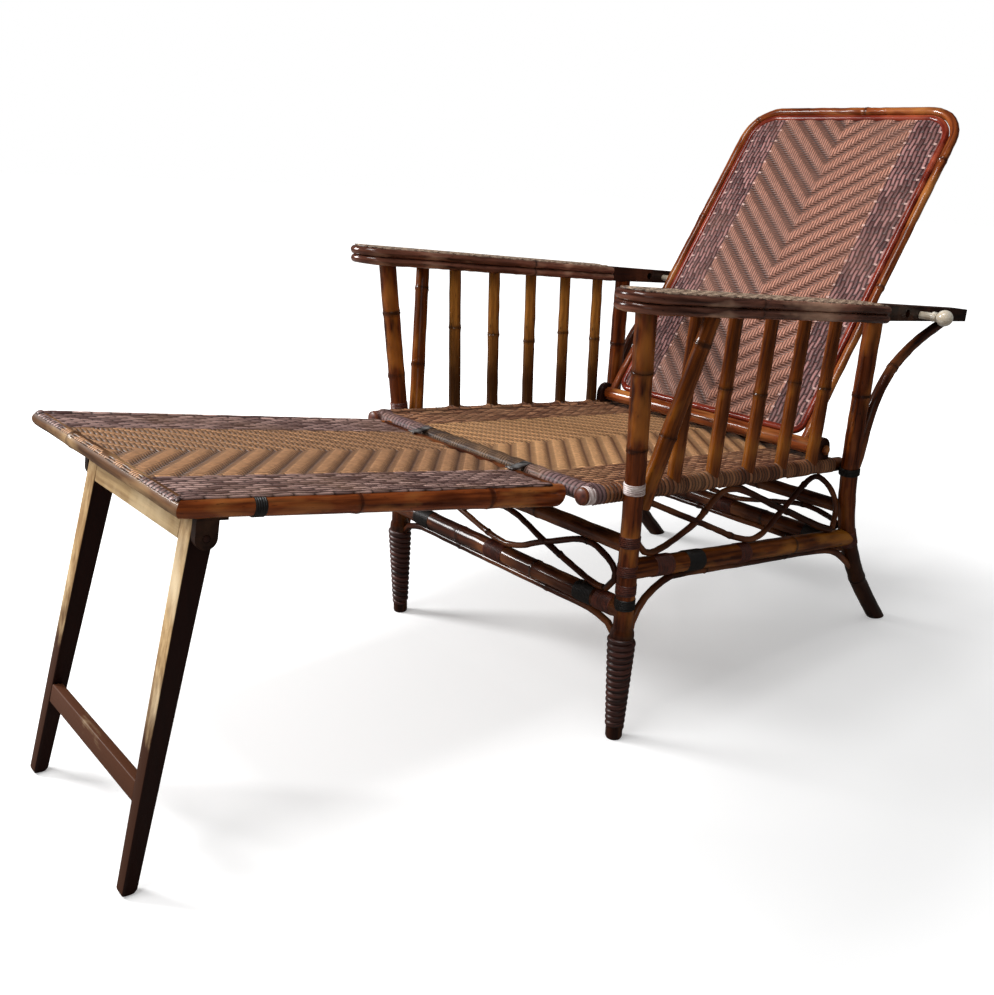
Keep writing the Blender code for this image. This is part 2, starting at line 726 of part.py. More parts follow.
def front_leg(side, word):
    """A straight cane with a thick wound ankle and bindings where the stretchers meet it."""
    route = front_leg_route(side)
    sections = front_leg_sections()
    places = [leg_point(route, height) for height, _ in sections]
    sizes = [size for _, size in sections]
    room = []
    for height, size in sections:
        wound = height <= ANKLE_HEIGHT
        room.append((size + WINDING_PROUD) / math.cos(math.pi / ROUND_STEPS) if wound else size)
    name = "front_leg_" + word
    ROD_SHAPES[name] = (places, room, FINE, origin)
    leg = add(name, tube_mesh(places, sizes, FINE), "cane", origin)
    points = winding_points(side)
    strand = tube_mesh(points, [WINDING_STRAND_RADIUS] * len(points), WIRE)
    join(leg, add("winding_" + word, strand, None, origin))
    cut(leg, board_room[word], floor)


def rear_leg(side, word):
    """A cane bent backwards below, with bindings at the seat and at the side stretcher."""
    route = rear_leg_route(side)
    ring = distance_to(route, REAR_LEG_RING_HEIGHT)
    low = distance_to(route, side_stretcher_height(SIDE_STRETCHER_END_Y))
    leg = rod(
        "rear_leg_" + word,
        route,
        (REAR_LEG_FOOT_RADIUS, REAR_LEG_RADIUS),
        "cane",
        origin,
        PLAIN,
        bindings=[
            (ring - REAR_RING_HALF, ring + REAR_RING_HALF, BINDING_PROUD),
            (low - REAR_BINDING_HALF, low + REAR_BINDING_HALF, BINDING_PROUD),
        ],
        nodes=[distance_to(route, height) for height in REAR_LEG_NODES],
    )
    cut(leg, board_room[word], floor)


def arms():
    """Boards with their peg holes, and the double rod round each."""
    lift = ARM_THICKNESS / 4
    for side, word in SIDES:
        board = add("arm_board_" + word, board_mesh(side, 0.0), "dark_cane", origin, smooth=False)
        for place in range(-PEG_HOLES_BEFORE, PEG_HOLES_BEHIND + 1):
            y = PROP_Y + place * PEG_PITCH
            height = arm_height(y) - ARM_MIDDLE_DOWN
            if place:
                height += SPARE_HOLE_LIFT
            outer = PEG_RAIL_OUTER_X + CUT_BEYOND
            inner = PEG_RAIL_OUTER_X - PEG_RAIL_WIDTH - CUT_BEYOND
            ends = [(side * x, y, height) for x in (outer, inner)]
            mesh = tube_mesh(ends, [PROP_ROD_RADIUS + RUNNING_GAP] * 2, FINE)
            cut(board, add(f"peg_hole_{word}_{place}", mesh, None, origin))
        rim = add("arm_rim_" + word, rim_mesh(side, lift, 0.0), "dark_cane", origin)
        join(rim, add("lower_rim_" + word, rim_mesh(side, -lift, 0.0), None, origin))


floor = add("floor", box_mesh((-1.0, -1.5, -0.2), (1.0, 1.5, 0.0)), None, origin)
board_room = {}
rim_room = {}
for side, word in SIDES:
    board_room[word] = add("room_for_board_" + word, board_mesh(side, GAP), None, origin)
    rim_room[word] = add("room_for_rim_" + word, rim_mesh(side, -ARM_THICKNESS / 4, GAP), None, origin)

arms()
for side, word in SIDES:
    front_leg(side, word)
    rear_leg(side, word)


def rail_x(y):
    """The side rail runs just inside the legs."""
    front = REAR_LEG_X + FRONT_LEG_OUT[1] - FRONT_LEG_RADIUS - SEAT_RAIL_RADIUS - GAP
    rear = REAR_LEG_X - REAR_LEG_RADIUS - SEAT_RAIL_RADIUS - GAP
    return front + (rear - front) * (y / REAR_LEG_TOP_Y)


def tab_mesh(side, grow):
    """A cheek that stands on the side rail, with a round top about the pivot."""
    centre = rail_x(BACK_PIVOT_Y)
    foot = BACK_PIVOT_HEIGHT - seat_height(BACK_PIVOT_Y) + TAB_FOOT_DOWN
    radius = TAB_RADIUS + grow
    outline = [(-radius, -foot), (radius, -foot)]
    for angle in half_circle(0.0, ROUND_STEPS):
        outline.append((radius * math.cos(angle), radius * math.sin(angle)))
    return moved(
        plate_mesh(outline, TAB_THICKNESS + 2 * grow),
        lambda x, y, z: (side * centre + z, BACK_PIVOT_Y + x, BACK_PIVOT_HEIGHT + y),
    )


def seat():
    """Four rails and the woven panel that lies between them."""
    for side, word in SIDES:
        ends = [(side * rail_x(y), y, seat_height(y)) for y in (SEAT_RAIL_NOSE_Y, SEAT_RAIL_TAIL_Y)]
        radii = (SEAT_RAIL_RADIUS,) * 2
        name = "seat_side_rail_" + word
        rail = rod(name, ends, radii, "amber_cane", origin, nodes=(SEAT_RAIL_NODE,))
        cut(rail, "front_leg_" + word, "rear_leg_" + word)
    for y, name in ((SEAT_FRONT_Y, "seat_front_rail"), (SEAT_REAR_Y, "seat_rear_rail")):
        ends = [(side * rail_x(y), y, seat_height(y)) for side in (1, -1)]
        rail = rod(name, ends, (SEAT_FRONT_RAIL_RADIUS,) * 2, "amber_cane", origin)
        cut(rail, "seat_side_rail_left", "seat_side_rail_right")
    middle = SEAT_RAIL_RADIUS - PANEL_SET_DOWN - SEAT_PANEL_THICKNESS / 2
    outline = [
        (rail_x(SEAT_FRONT_Y), SEAT_FRONT_Y),
        (rail_x(SEAT_REAR_Y), SEAT_REAR_Y),
        (-rail_x(SEAT_REAR_Y), SEAT_REAR_Y),
        (-rail_x(SEAT_FRONT_Y), SEAT_FRONT_Y),
    ]
    mesh = moved(
        plate_mesh(outline, SEAT_PANEL_THICKNESS),
        lambda x, y, z: (x, y, seat_height(y) + middle + z),
    )
    panel = add("seat_panel", mesh, "weave", origin, smooth=False)
    cut(panel, "seat_side_rail_left", "seat_side_rail_right", "seat_front_rail", "seat_rear_rail")
    slot_end = SEAT_FRONT_Y + SEAT_FRONT_RAIL_RADIUS + HOOK_SLOT_DEPTH
    middle += seat_height(slot_end)
    deep = SEAT_PANEL_THICKNESS + CUT_BEYOND
    half = HOOK_WIDTH / 2 + HOOK_SLOT_SIDE
    for side, word in SIDES:
        low = (side * HOOK_X - half, SEAT_FRONT_Y, middle - deep)
        high = (side * HOOK_X + half, slot_end, middle + deep)
        cut(panel, add("hook_slot_" + word, box_mesh(low, high), None, origin))
        cut(panel, add("room_for_tab_" + word, tab_mesh(side, GAP), None, origin))


def spindles():
    """Uprights along each side, notched over the seat's side rail and butted under the arm."""
    for side, word in SIDES:
        for number in range(SPINDLE_COUNT):
            share = number / (SPINDLE_COUNT - 1)
            y = SPINDLE_FIRST_Y + (SPINDLE_LAST_Y - SPINDLE_FIRST_Y) * share
            foot = (side * (rail_x(y) + SPINDLE_FOOT_OUT), y, seat_height(y) - SPINDLE_FOOT_DOWN)
            top = (side * (REAR_LEG_X + SPINDLE_TOP_OUT), y, upright_top(y))
            length = (Vector(top) - Vector(foot)).length
            node = length * SPINDLE_NODE_SHARES[number % len(SPINDLE_NODE_SHARES)]
            name = f"spindle_{number + 1}_{word}"
            radii = (SPINDLE_RADIUS, SPINDLE_TOP_RADIUS)
            spindle = rod(name, [foot, top], radii, "amber_cane", origin, nodes=(node,))
            cut(spindle, "seat_side_rail_" + word, board_room[word], rim_room[word])


def braces():
    """The straight brace in front of the arm and the bent one behind it."""
    for side, word in SIDES:
        foot_x, top_x = [side * (REAR_LEG_X + out) for out in FRONT_BRACE_OUT]
        ends = [(foot_x, *FRONT_BRACE_FOOT), (top_x, FRONT_BRACE_TOP_Y, upright_top(FRONT_BRACE_TOP_Y))]
        radii = (FRONT_BRACE_RADIUS, FRONT_BRACE_TOP_RADIUS)
        name = "front_arm_brace_" + word
        brace = rod(name, ends, radii, "amber_cane", origin, nodes=(FRONT_BRACE_NODE,))
        cut(brace, "front_leg_" + word, "seat_side_rail_" + word, "spindle_1_" + word)
        cut(brace, board_room[word], rim_room[word])

        x = side * (REAR_LEG_X + REAR_BRACE_OUT)
        knots = [(x, y, arm_height(y) - depth) for y, depth in REAR_BRACE_CURVE]
        route = smooth_route(knots, LEG_ROUTE_STEPS)
        radii = (REAR_BRACE_RADIUS, REAR_BRACE_TOP_RADIUS)
        brace = rod("rear_arm_brace_" + word, route, radii, "cane", origin, nodes=(REAR_BRACE_NODE,))
        cut(brace, "rear_leg_" + word, board_room[word])


def stretchers():
    """The main poles between the legs and the lighter pair above them."""
    for side, word in SIDES:
        front = leg_point(front_leg_route(side), side_stretcher_height(FRONT_LEG_FOOT_Y))
        rear = leg_point(rear_leg_route(side), side_stretcher_height(SIDE_STRETCHER_END_Y))
        pole = rod(
            "side_stretcher_" + word,
            [front, rear],
            (STRETCHER_RADIUS,) * 2,
            "cane",
            origin,
            bindings=[(*ends, BINDING_PROUD) for ends in SIDE_STRETCHER_BINDINGS],
            nodes=(SIDE_STRETCHER_NODE,),
        )
        cut(pole, "front_leg_" + word, "rear_leg_" + word)
    bands = [(*ends, BINDING_PROUD) for ends in CROSS_STRETCHER_BINDINGS]
    for end, legs, height, upper_height in (
        ("front", front_leg_route, FRONT_STRETCHER_HEIGHT, FRONT_UPPER_HEIGHT),
        ("rear", rear_leg_route, REAR_STRETCHER_HEIGHT, REAR_UPPER_HEIGHT),
    ):
        for name, z, radius, bindings in (
            (end + "_stretcher", height, CROSS_STRETCHER_RADIUS, bands),
            (end + "_upper_pole", upper_height, UPPER_POLE_RADIUS, []),
        ):
            ends = [leg_point(legs(side), z) for side in (1, -1)]
            radii = (radius,) * 2
            pole = rod(name, ends, radii, "cane", origin, bindings=bindings, nodes=CROSS_POLE_NODES)
            cut(pole, end + "_leg_left", end + "_leg_right")


def under_rod(name, start, end, run, cut_by):
    """A thin cane from one ankle, along under the stretcher, to the other ankle."""
    route = smooth_route([start[0], start[1], run[0], run[1], end[1], end[0]], UNDER_ROD_STEPS)
    piece = rod(name, route, (UNDER_ROD_RADIUS,) * 2, "dark_cane", origin, WIRE)
    cut(piece, *cut_by)


def side_under_rods():
    """The under-rods from the front ankles back to the rear legs."""
    below = STRETCHER_RADIUS + UNDER_ROD_RADIUS + GAP
    for side, word in SIDES:
        ankle = leg_point(front_leg_route(side), UNDER_ROD_FRONT_HEIGHT)
        kick = leg_point(rear_leg_route(side), UNDER_ROD_REAR_HEIGHT)
        first_y = ankle.y + ANKLE_RADIUS * UNDER_ROD_LEG_SHARE
        run = []
        for y in (ankle.y + UNDER_ROD_FRONT_REACH, kick.y - UNDER_ROD_REAR_REACH):
            run.append((ankle.x, y, side_stretcher_height(y) - below))
        along, up = UNDER_ROD_FRONT_KNEE
        start = [(ankle.x, first_y, ankle.z), (ankle.x, first_y + along, ankle.z + up)]
        along, up = UNDER_ROD_REAR_KNEE
        end = [(kick.x, kick.y, kick.z), (kick.x, kick.y - along, kick.z + up)]
        room = ("front_leg_" + word, "rear_leg_" + word, "side_stretcher_" + word)
        under_rod("side_under_rod_" + word, start, end, run, room)


def cross_under_rods():
    """The under-rods across the front and the rear."""
    share_along, share_up = UNDER_ROD_CROSS_KNEE
    for end, legs, height, low, radius in (
        ("front", front_leg_route, FRONT_STRETCHER_HEIGHT, UNDER_ROD_FRONT_HEIGHT, ANKLE_RADIUS),
        ("rear", rear_leg_route, REAR_STRETCHER_HEIGHT, UNDER_ROD_REAR_HEIGHT, REAR_LEG_RADIUS),
    ):
        ankle = leg_point(legs(1), low)
        pole = leg_point(legs(1), height)
        first_x = ankle.x - radius * UNDER_ROD_LEG_SHARE
        knee_x = first_x - UNDER_ROD_CROSS_REACH * share_along
        knee_y = ankle.y + (pole.y - ankle.y) * UNDER_ROD_KNEE_BACK
        run_z = height - CROSS_STRETCHER_RADIUS - UNDER_ROD_RADIUS - GAP
        knee_z = low + (run_z - low) * share_up
        bends = [[(side * first_x, ankle.y, low), (side * knee_x, knee_y, knee_z)] for side in (1, -1)]
        run = [(side * (first_x - UNDER_ROD_CROSS_REACH), pole.y, run_z) for side in (1, -1)]
        room = (end + "_leg_left", end + "_leg_right", end + "_stretcher")
        under_rod(end + "_under_rod", bends[0], bends[1], run, room)


def lattice_knots(lowest, highest):
    """Shares along the span and up the gap for the two rods that cross each other."""
    falling, climbing, arching = LATTICE_HALFWAY
    start, end = LATTICE_FALL
    first = [
        (start, 1.0),
        ((start + lowest) / 2, falling),
        (lowest, 0.0),
        ((lowest + end) / 2, climbing),
        (end, 1.0),
    ]
    start, end = LATTICE_RISE
    second = [
        (start, 0.0),
        ((start + highest) / 2, falling),
        (highest, 1.0),
        ((highest + end) / 2, arching),
    ]
    return first + LATTICE_CURL, LATTICE_START + second + LATTICE_END


def lattice(name, low_line, high_line, turns, cut_by):
    """Two bent rods that cross, between the lines that they lie on below and above."""
    rods = []
    for knots in lattice_knots(*turns):
        points = [low_line(share).lerp(high_line(share), rise) for share, rise in knots]
        route = smooth_route(points, LEG_ROUTE_STEPS)
        rods.append(tube_mesh(route, [LATTICE_ROD_RADIUS] * len(route), WIRE))
    piece = add(name, rods[0], "dark_cane", origin)
    join(piece, add("second_rod_of_" + name, rods[1], None, origin))
    cut(piece, *cut_by)


def side_lattices():
    """The lattices between the side stretchers and the seat's side rails."""
    above = LATTICE_ROD_RADIUS + GAP
    for side, word in SIDES:
        front = leg_point(front_leg_route(side), FRONT_UPPER_HEIGHT)
        rear = leg_point(rear_leg_route(side), REAR_UPPER_HEIGHT)
        start = front.y + FRONT_LEG_RADIUS + BINDING_PROUD + above
        end = rear.y - REAR_LEG_RADIUS - above

        def low(share, side=side, front=front, rear=rear, start=start, end=end):
            y = start + (end - start) * share
            x = front.x + (rear.x - front.x) * y / REAR_LEG_TOP_Y
            return Vector((x, y, side_stretcher_height(y) + STRETCHER_RADIUS + above))

        def high(share, side=side, start=start, end=end):
            y = start + (end - start) * share
            x = side * (rail_x(y) + LATTICE_TOP_OUT)
            return Vector((x, y, seat_height(y) - SEAT_RAIL_RADIUS - above))

        poles = ("side_stretcher_" + word, "seat_side_rail_" + word)
        room = ("front_leg_" + word, "rear_leg_" + word, *poles)
        lattice("side_lattice_" + word, low, high, SIDE_LATTICE_TURNS, room)


def cross_lattices():
    """The lattices between the front poles and between the rear poles."""
    above = LATTICE_ROD_RADIUS + GAP
    for end, legs, low_height, high_height, leg_radius in (
        ("front", front_leg_route, FRONT_STRETCHER_HEIGHT, FRONT_UPPER_HEIGHT, FRONT_LEG_RADIUS),
        ("rear", rear_leg_route, REAR_STRETCHER_HEIGHT, REAR_UPPER_HEIGHT, REAR_LEG_RADIUS),
    ):
        bottom = leg_point(legs(1), low_height)
        top = leg_point(legs(1), high_height)
        half = top.x - leg_radius - BINDING_PROUD - above
        low_z = low_height + CROSS_STRETCHER_RADIUS + above
        high_z = high_height - UPPER_POLE_RADIUS - above

        def low(share, half=half, y=bottom.y, z=low_z):
            return Vector((half * (2 * share - 1), y, z))

        def high(share, half=half, y=top.y, z=high_z):
            return Vector((half * (2 * share - 1), y, z))

        room = (end + "_leg_left", end + "_leg_right", end + "_stretcher", end + "_upper_pole")
        lattice(end + "_lattice", low, high, CROSS_LATTICE_TURNS, room)


def tabs():
    """The two cheeks with the pivot's bores."""
    reach = TAB_THICKNESS / 2 + CUT_BEYOND
    for side, word in SIDES:
        centre = side * rail_x(BACK_PIVOT_Y)
        tab = add("pivot_tab_" + word, tab_mesh(side, 0.0), "dark_cane", origin)
        ends = [(centre + offset, BACK_PIVOT_Y, BACK_PIVOT_HEIGHT) for offset in (-reach, reach)]
        bore = tube_mesh(ends, [PIVOT_PIN_RADIUS + RUNNING_GAP] * 2, FINE)
        cut(tab, "seat_side_rail_" + word, f"spindle_{SPINDLE_COUNT}_{word}")
        cut(tab, add("pivot_bore_" + word, bore, None, origin))


def arc(x, y, radius, start, steps):
    """A quarter circle about (x, y), from this angle in degrees."""
    angles = [math.radians(start + 90.0 * step / steps) for step in range(steps + 1)]
    return [(x + radius * math.cos(angle), y + radius * math.sin(angle)) for angle in angles]


def open_loop(half_width, top, corner):
    """A line in X and Y: up the left side, round two corners and down the right side."""
    x = half_width - corner
    y = top - corner
    line = [(half_width, 0.0)]
    line += arc(x, y, corner, 0.0, BACK_CORNER_STEPS)
    line += arc(-x, y, corner, 90.0, BACK_CORNER_STEPS)
    return line + [(-half_width, 0.0)]


def closed_loop(half_width, top, corner, bottom, foot_corner):
    """A loop in X and Y with large corners above and small ones below."""
    x = half_width - corner
    y = top - corner
    foot_x = half_width - foot_corner
    foot_y = bottom + foot_corner
    loop = arc(x, y, corner, 0.0, BACK_INNER_STEPS)
    loop += arc(-x, y, corner, 90.0, BACK_INNER_STEPS)
    loop += arc(-foot_x, foot_y, foot_corner, 180.0, BACK_INNER_STEPS)
    return loop + arc(foot_x, foot_y, foot_corner, 270.0, BACK_INNER_STEPS)


def back_pivot_rail():
    """The back's bottom rail, with a pin and a small knob turned on each end."""
    tab_x = rail_x(BACK_PIVOT_Y)
    inner = tab_x - TAB_THICKNESS / 2 - RUNNING_GAP
    outer = tab_x + TAB_THICKNESS / 2 + RUNNING_GAP
    end = outer + PIVOT_KNOB_LENGTH
    half = [
        (inner - PIVOT_RAIL_ROUNDING, PIVOT_RAIL_RADIUS),
        (inner, PIVOT_RAIL_END_RADIUS),
        (inner + PIVOT_STEP, PIVOT_PIN_RADIUS),
        (outer, PIVOT_PIN_RADIUS),
        (outer + PIVOT_STEP, PIVOT_KNOB_RADIUS),
        (end - PIVOT_KNOB_ROUNDING, PIVOT_KNOB_RADIUS),
        (end, PIVOT_KNOB_END_RADIUS),
    ]
    turned = [(-x, radius) for x, radius in reversed(half)] + half
    places = [Vector((x, 0.0, 0.0)) for x, _ in turned]
    sizes = [radius for _, radius in turned]
    ROD_SHAPES["back_pivot_rail"] = (places, sizes, FINE, back_axis)
    add("back_pivot_rail", tube_mesh(places, sizes, FINE), "amber_cane", back_axis)


def back():
    """The reclining back, modelled upright on its pivot: X across, Z up to the top."""
    half_width = BACK_WIDTH / 2 - BACK_HOOP_RADIUS
    top = BACK_LENGTH - BACK_HOOP_RADIUS
    corner = BACK_CORNER_RADIUS - BACK_HOOP_RADIUS
    route = [(x + BACK_SHIFT, 0.0, y) for x, y in open_loop(half_width, top, corner)]
    radii = (BACK_HOOP_RADIUS,) * 2
    hoop = rod("back_hoop", route, radii, "cane", back_axis, PLAIN, nodes=BACK_HOOP_NODES)
    cut(hoop, "back_pivot_rail")

    inset = BACK_HOOP_RADIUS + BACK_INNER_RADIUS + GAP + NODE_PROUD
    low = PIVOT_RAIL_RADIUS + BACK_INNER_RADIUS + GAP
    foot_corner = BACK_FOOT_CORNER_RADIUS
    loop = closed_loop(half_width - inset, top - inset, corner - inset, low, foot_corner)
    route = [(x + BACK_SHIFT, 0.0, y) for x, y in loop]
    mesh = tube_mesh(route, [BACK_INNER_RADIUS] * len(route), THIN, closed=True)
    add("back_inner_hoop", mesh, "red_rod", back_axis)

    inset += BACK_INNER_RADIUS + GAP
    low += BACK_INNER_RADIUS + GAP
    foot_corner -= BACK_INNER_RADIUS + GAP
    loop = closed_loop(half_width - inset, top - inset, corner - inset, low, foot_corner)
    mesh = moved(plate_mesh(loop, BACK_PANEL_THICKNESS), lambda x, y, z: (x + BACK_SHIFT, z, y))
    add("back_panel", mesh, "weave", back_axis, smooth=False)


def prop():
    """The rod that the back leans on, with a turned knob at its left end."""
    tail = -(PEG_RAIL_OUTER_X + PROP_TAIL)
    neck = PROP_KNOB_X - PROP_KNOB_RADIUS
    collar_start, collar_end = [neck - place for place in PROP_COLLAR]
    turned = [
        (tail, PROP_ROD_END_RADIUS),
        (tail + PROP_ROD_ROUNDING, PROP_ROD_RADIUS),
        (collar_start, PROP_ROD_RADIUS),
        (collar_start + BINDING_SLOPE, PROP_COLLAR_RADIUS),
        (collar_end, PROP_COLLAR_RADIUS),
    ]
    for angle in half_circle(math.pi, PROP_KNOB_STEPS)[1:-1]:
        x = PROP_KNOB_X + PROP_KNOB_RADIUS * math.cos(angle)
        turned.append((x, -PROP_KNOB_RADIUS * math.sin(angle)))
    turned.append((PROP_KNOB_X + PROP_KNOB_RADIUS, PROP_KNOB_FLAT))
    places = [Vector((x, 0.0, 0.0)) for x, _ in turned]
    add("prop_rod", tube_mesh(places, [radius for _, radius in turned], FINE), "knob", prop_axis)


def hook_mesh(side, seam_y):
    """A strap from the end rail's crown, up over the seat's front rail and down behind it."""
    start_y = seam_y - HOOK_TAIL
    rows = []
    for lift in (GAP, GAP + HOOK_THICKNESS):
        radius = SEAT_FRONT_RAIL_RADIUS + RUNNING_GAP - GAP + lift
        crown = Vector((seam_y, FOOTREST_TOP + lift))
        towards = math.atan2(crown.y, crown.x)
        first = towards - math.acos(radius / crown.length)
        last = math.pi / 2 - HOOK_WRAP
        row = [(start_y, crown.y), tuple(crown)]
        for step in range(HOOK_STEPS + 1):
            angle = first + (last - first) * step / HOOK_STEPS
            row.append((radius * math.cos(angle), radius * math.sin(angle)))
        rows.append(row)
    outline = rows[0] + rows[1][::-1]
    return moved(
        plate_mesh(outline, HOOK_WIDTH),
        lambda x, y, z: (side * HOOK_X + z, x, y),
    )


def footrest():
    """A framed woven panel that hooks over the seat's front rail."""
    seam_y = -(SEAT_FRONT_RAIL_RADIUS + FOOTREST_SEAM + FOOTREST_END_RAIL_RADIUS)
    foot_y = -(FOOTREST_LENGTH - FOOTREST_FOOT_RAIL_RADIUS)
    for side, word in SIDES:
        ends = []
        stations = (seam_y + FOOTREST_RAIL_OVERLAP, -FOOTREST_LENGTH)
        for y, radius in zip(stations, FOOTREST_RAIL_RADII):
            ends.append((side * (FOOTREST_WIDTH / 2 - radius), y, FOOTREST_TOP - radius))
        rod(
            "footrest_rail_" + word,
            ends,
            FOOTREST_RAIL_RADII,
            "cane",
            footrest_axis,
            bindings=[(*FOOTREST_RAIL_BINDING, FOOTREST_BINDING_PROUD)],
            nodes=FOOTREST_RAIL_NODES,
        )
    reach = FOOTREST_WIDTH / 2 - max(FOOTREST_RAIL_RADII)
    for name, y, radius, slot in (
        ("footrest_end_rail", seam_y, FOOTREST_END_RAIL_RADIUS, "cane"),
        ("footrest_foot_rail", foot_y, FOOTREST_FOOT_RAIL_RADIUS, "pale_cane"),
    ):
        ends = [(x, y, FOOTREST_TOP - radius) for x in (reach, -reach)]
        rail = rod(name, ends, (radius,) * 2, slot, footrest_axis)
        cut(rail, "footrest_rail_left", "footrest_rail_right")
    top = FOOTREST_TOP - PANEL_SET_DOWN
    low = (-reach, foot_y, top - SEAT_PANEL_THICKNESS)
    high = (reach, seam_y, top)
    panel = add("footrest_panel", box_mesh(low, high), "weave", footrest_axis, smooth=False)
    cut(panel, "footrest_rail_left", "footrest_rail_right", "footrest_end_rail", "footrest_foot_rail")

    for side, word in SIDES:
        hook = add("footrest_hook_" + word, hook_mesh(side, seam_y), "steel", footrest_axis, smooth=False)
        cut(hook, "footrest_end_rail")


def leg_edges(side, down):
    """Inner and outer x of a footrest leg this far down from its pin."""
    share = down / leg_length
    left = side > 0
    top = LEG_INSETS_TOP[0] if left else LEG_INSETS_TOP[1]
    foot = LEG_INSETS_FOOT[0] if left else LEG_INSETS_FOOT[1]
    outer = FOOTREST_WIDTH / 2 - top - (foot - top) * share
    width = LEG_TOP_WIDTH + (LEG_FOOT_WIDTH - LEG_TOP_WIDTH) * share
    return side * (outer - width), side * outer


def ear_face(side):
    """The x of the ear's inner face: clear of all of the leg that turns beside the ear."""
    edges = [leg_edges(side, down)[1] * side for down in (0.0, EAR_RADIUS * EAR_SWEEP)]
    return side * (max(edges) + RUNNING_GAP)


def footrest_batten():
    """The cross batten under the panel, with an ear outside each leg for its pin."""
    reach = FOOTREST_WIDTH / 2 - min(FOOTREST_RAIL_RADII)
    top = FOOTREST_TOP - PANEL_SET_DOWN - SEAT_PANEL_THICKNESS - GAP
    bottom = top - BATTEN_THICKNESS
    low = (-reach, -LEG_PIN_OUT - BATTEN_DEPTH / 2, bottom)
    high = (reach, -LEG_PIN_OUT + BATTEN_DEPTH / 2, top)
    batten = add("footrest_batten", box_mesh(low, high), "leg_wood", footrest_axis, smooth=False)
    for side, word in SIDES:
        face = ear_face(side)
        middle = face + side * EAR_THICKNESS / 2
        root = bottom + EAR_ROOT
        outline = [(EAR_RADIUS, root), (-EAR_RADIUS, root)]
        for angle in half_circle(math.pi, ROUND_STEPS):
            outline.append((EAR_RADIUS * math.cos(angle), EAR_RADIUS * math.sin(angle) - LEG_PIN_DROP))
        mesh = moved(
            plate_mesh(outline, EAR_THICKNESS),
            lambda x, y, z: (middle + z, x - LEG_PIN_OUT, y),
        )
        ear = add("ear_" + word, mesh, None, footrest_axis)
        half = EAR_THICKNESS / 2 + CUT_BEYOND
        ends = [(middle + offset, -LEG_PIN_OUT, -LEG_PIN_DROP) for offset in (-half, half)]
        bore = tube_mesh(ends, [LEG_PIN_RADIUS + RUNNING_GAP] * 2, PLAIN)
        cut(ear, add("leg_pin_bore_" + word, bore, None, footrest_axis))
        join(batten, ear)
    cut(batten, "footrest_rail_left", "footrest_rail_right")
    room = box_mesh([place - GAP for place in low], [place + GAP for place in high])
    return add("room_for_batten", room, None, footrest_axis)


def footrest_legs(batten_room):
    """Two tapered legs, hung on the pin of the bar between their tops."""
    below = -leg_length - CUT_BEYOND
    for side, word in SIDES:
        outline = []
        for step in range(LEG_NOSE_STEPS + 1):
            angle = math.pi / 2 * step / LEG_NOSE_STEPS
            outline.append((LEG_NOSE_RADIUS * math.cos(angle), LEG_NOSE_RADIUS * math.sin(angle)))
        outline += [
            (-LEG_HEAD_BACK, LEG_HEAD_LENGTH),
            (-LEG_TOP_DEPTH / 2, LEG_HEAD_LENGTH),
            (-LEG_TOP_DEPTH / 2, 0.0),
            (-LEG_FOOT_DEPTH / 2, below),
            (LEG_FOOT_DEPTH / 2, below),
            (LEG_TOP_DEPTH / 2, -LEG_TAPER_START),
        ]

        def place(x, y, z, side=side):
            inside, outside = leg_edges(side, max(0.0, -y))
            return ((inside + outside) / 2 + z * (outside - inside), x, y)

        mesh = moved(plate_mesh(outline, 1.0), place)
        leg = add("footrest_leg_" + word, mesh, "leg_wood", leg_axis, smooth=False)
        ends = [(x - side * CUT_BEYOND * turn, 0.0, 0.0) for x, turn in zip(leg_edges(side, 0.0), (1, -1))]
        hole = tube_mesh(ends, [LEG_PIN_RADIUS + GAP] * 2, FINE)
        cut(leg, add("leg_pin_hole_" + word, hole, None, leg_axis), batten_room, floor)

    left = leg_edges(1, 0.0)[0]
    right = leg_edges(-1, 0.0)[0]
    low = (right + GAP, -LEG_BAR_FORWARD - LEG_BAR_DEPTH / 2, -LEG_BAR_HEIGHT / 2)
    high = (left - GAP, -LEG_BAR_FORWARD + LEG_BAR_DEPTH / 2, LEG_BAR_HEIGHT / 2)
    bar = add("leg_top_bar", box_mesh(low, high), "leg_wood", leg_axis, smooth=False)
    ends = [(ear_face(side) + side * EAR_THICKNESS, 0.0, 0.0) for side in (-1, 1)]
    join(bar, add("leg_pin", tube_mesh(ends, [LEG_PIN_RADIUS] * 2, FINE), None, leg_axis))

    share = LEG_STRETCHER_DOWN / leg_length
    front = LEG_STRETCHER_INSET - (LEG_TOP_DEPTH + (LEG_FOOT_DEPTH - LEG_TOP_DEPTH) * share) / 2
    half = LEG_STRETCHER_HEIGHT / 2
    low = (-1.0, front, -LEG_STRETCHER_DOWN - half)
    high = (1.0, front + LEG_STRETCHER_DEPTH, -LEG_STRETCHER_DOWN + half)

    def between_legs(x, y, z):
        side = math.copysign(1, x)
        return (leg_edges(side, -z)[0] - side * GAP, y, z)

    mesh = moved(box_mesh(low, high), between_legs)
    add("leg_stretcher", mesh, "leg_wood", leg_axis, smooth=False)


seat()
spindles()
braces()
stretchers()
side_under_rods()
cross_under_rods()
side_lattices()
cross_lattices()
tabs()
back_pivot_rail()
back()
prop()
footrest()
footrest_legs(footrest_batten())

print(f"winding: least gap to itself {1000 * winding_gap():.2f} mm")
bpy.context.view_layer.update()
for axis in (back_axis, prop_axis, footrest_axis, leg_axis):
    print(axis.name, [round(value, 5) for value in axis.matrix_world.translation])
print("origin shift", round(ORIGIN_X, 5), round(ORIGIN_Y, 5))
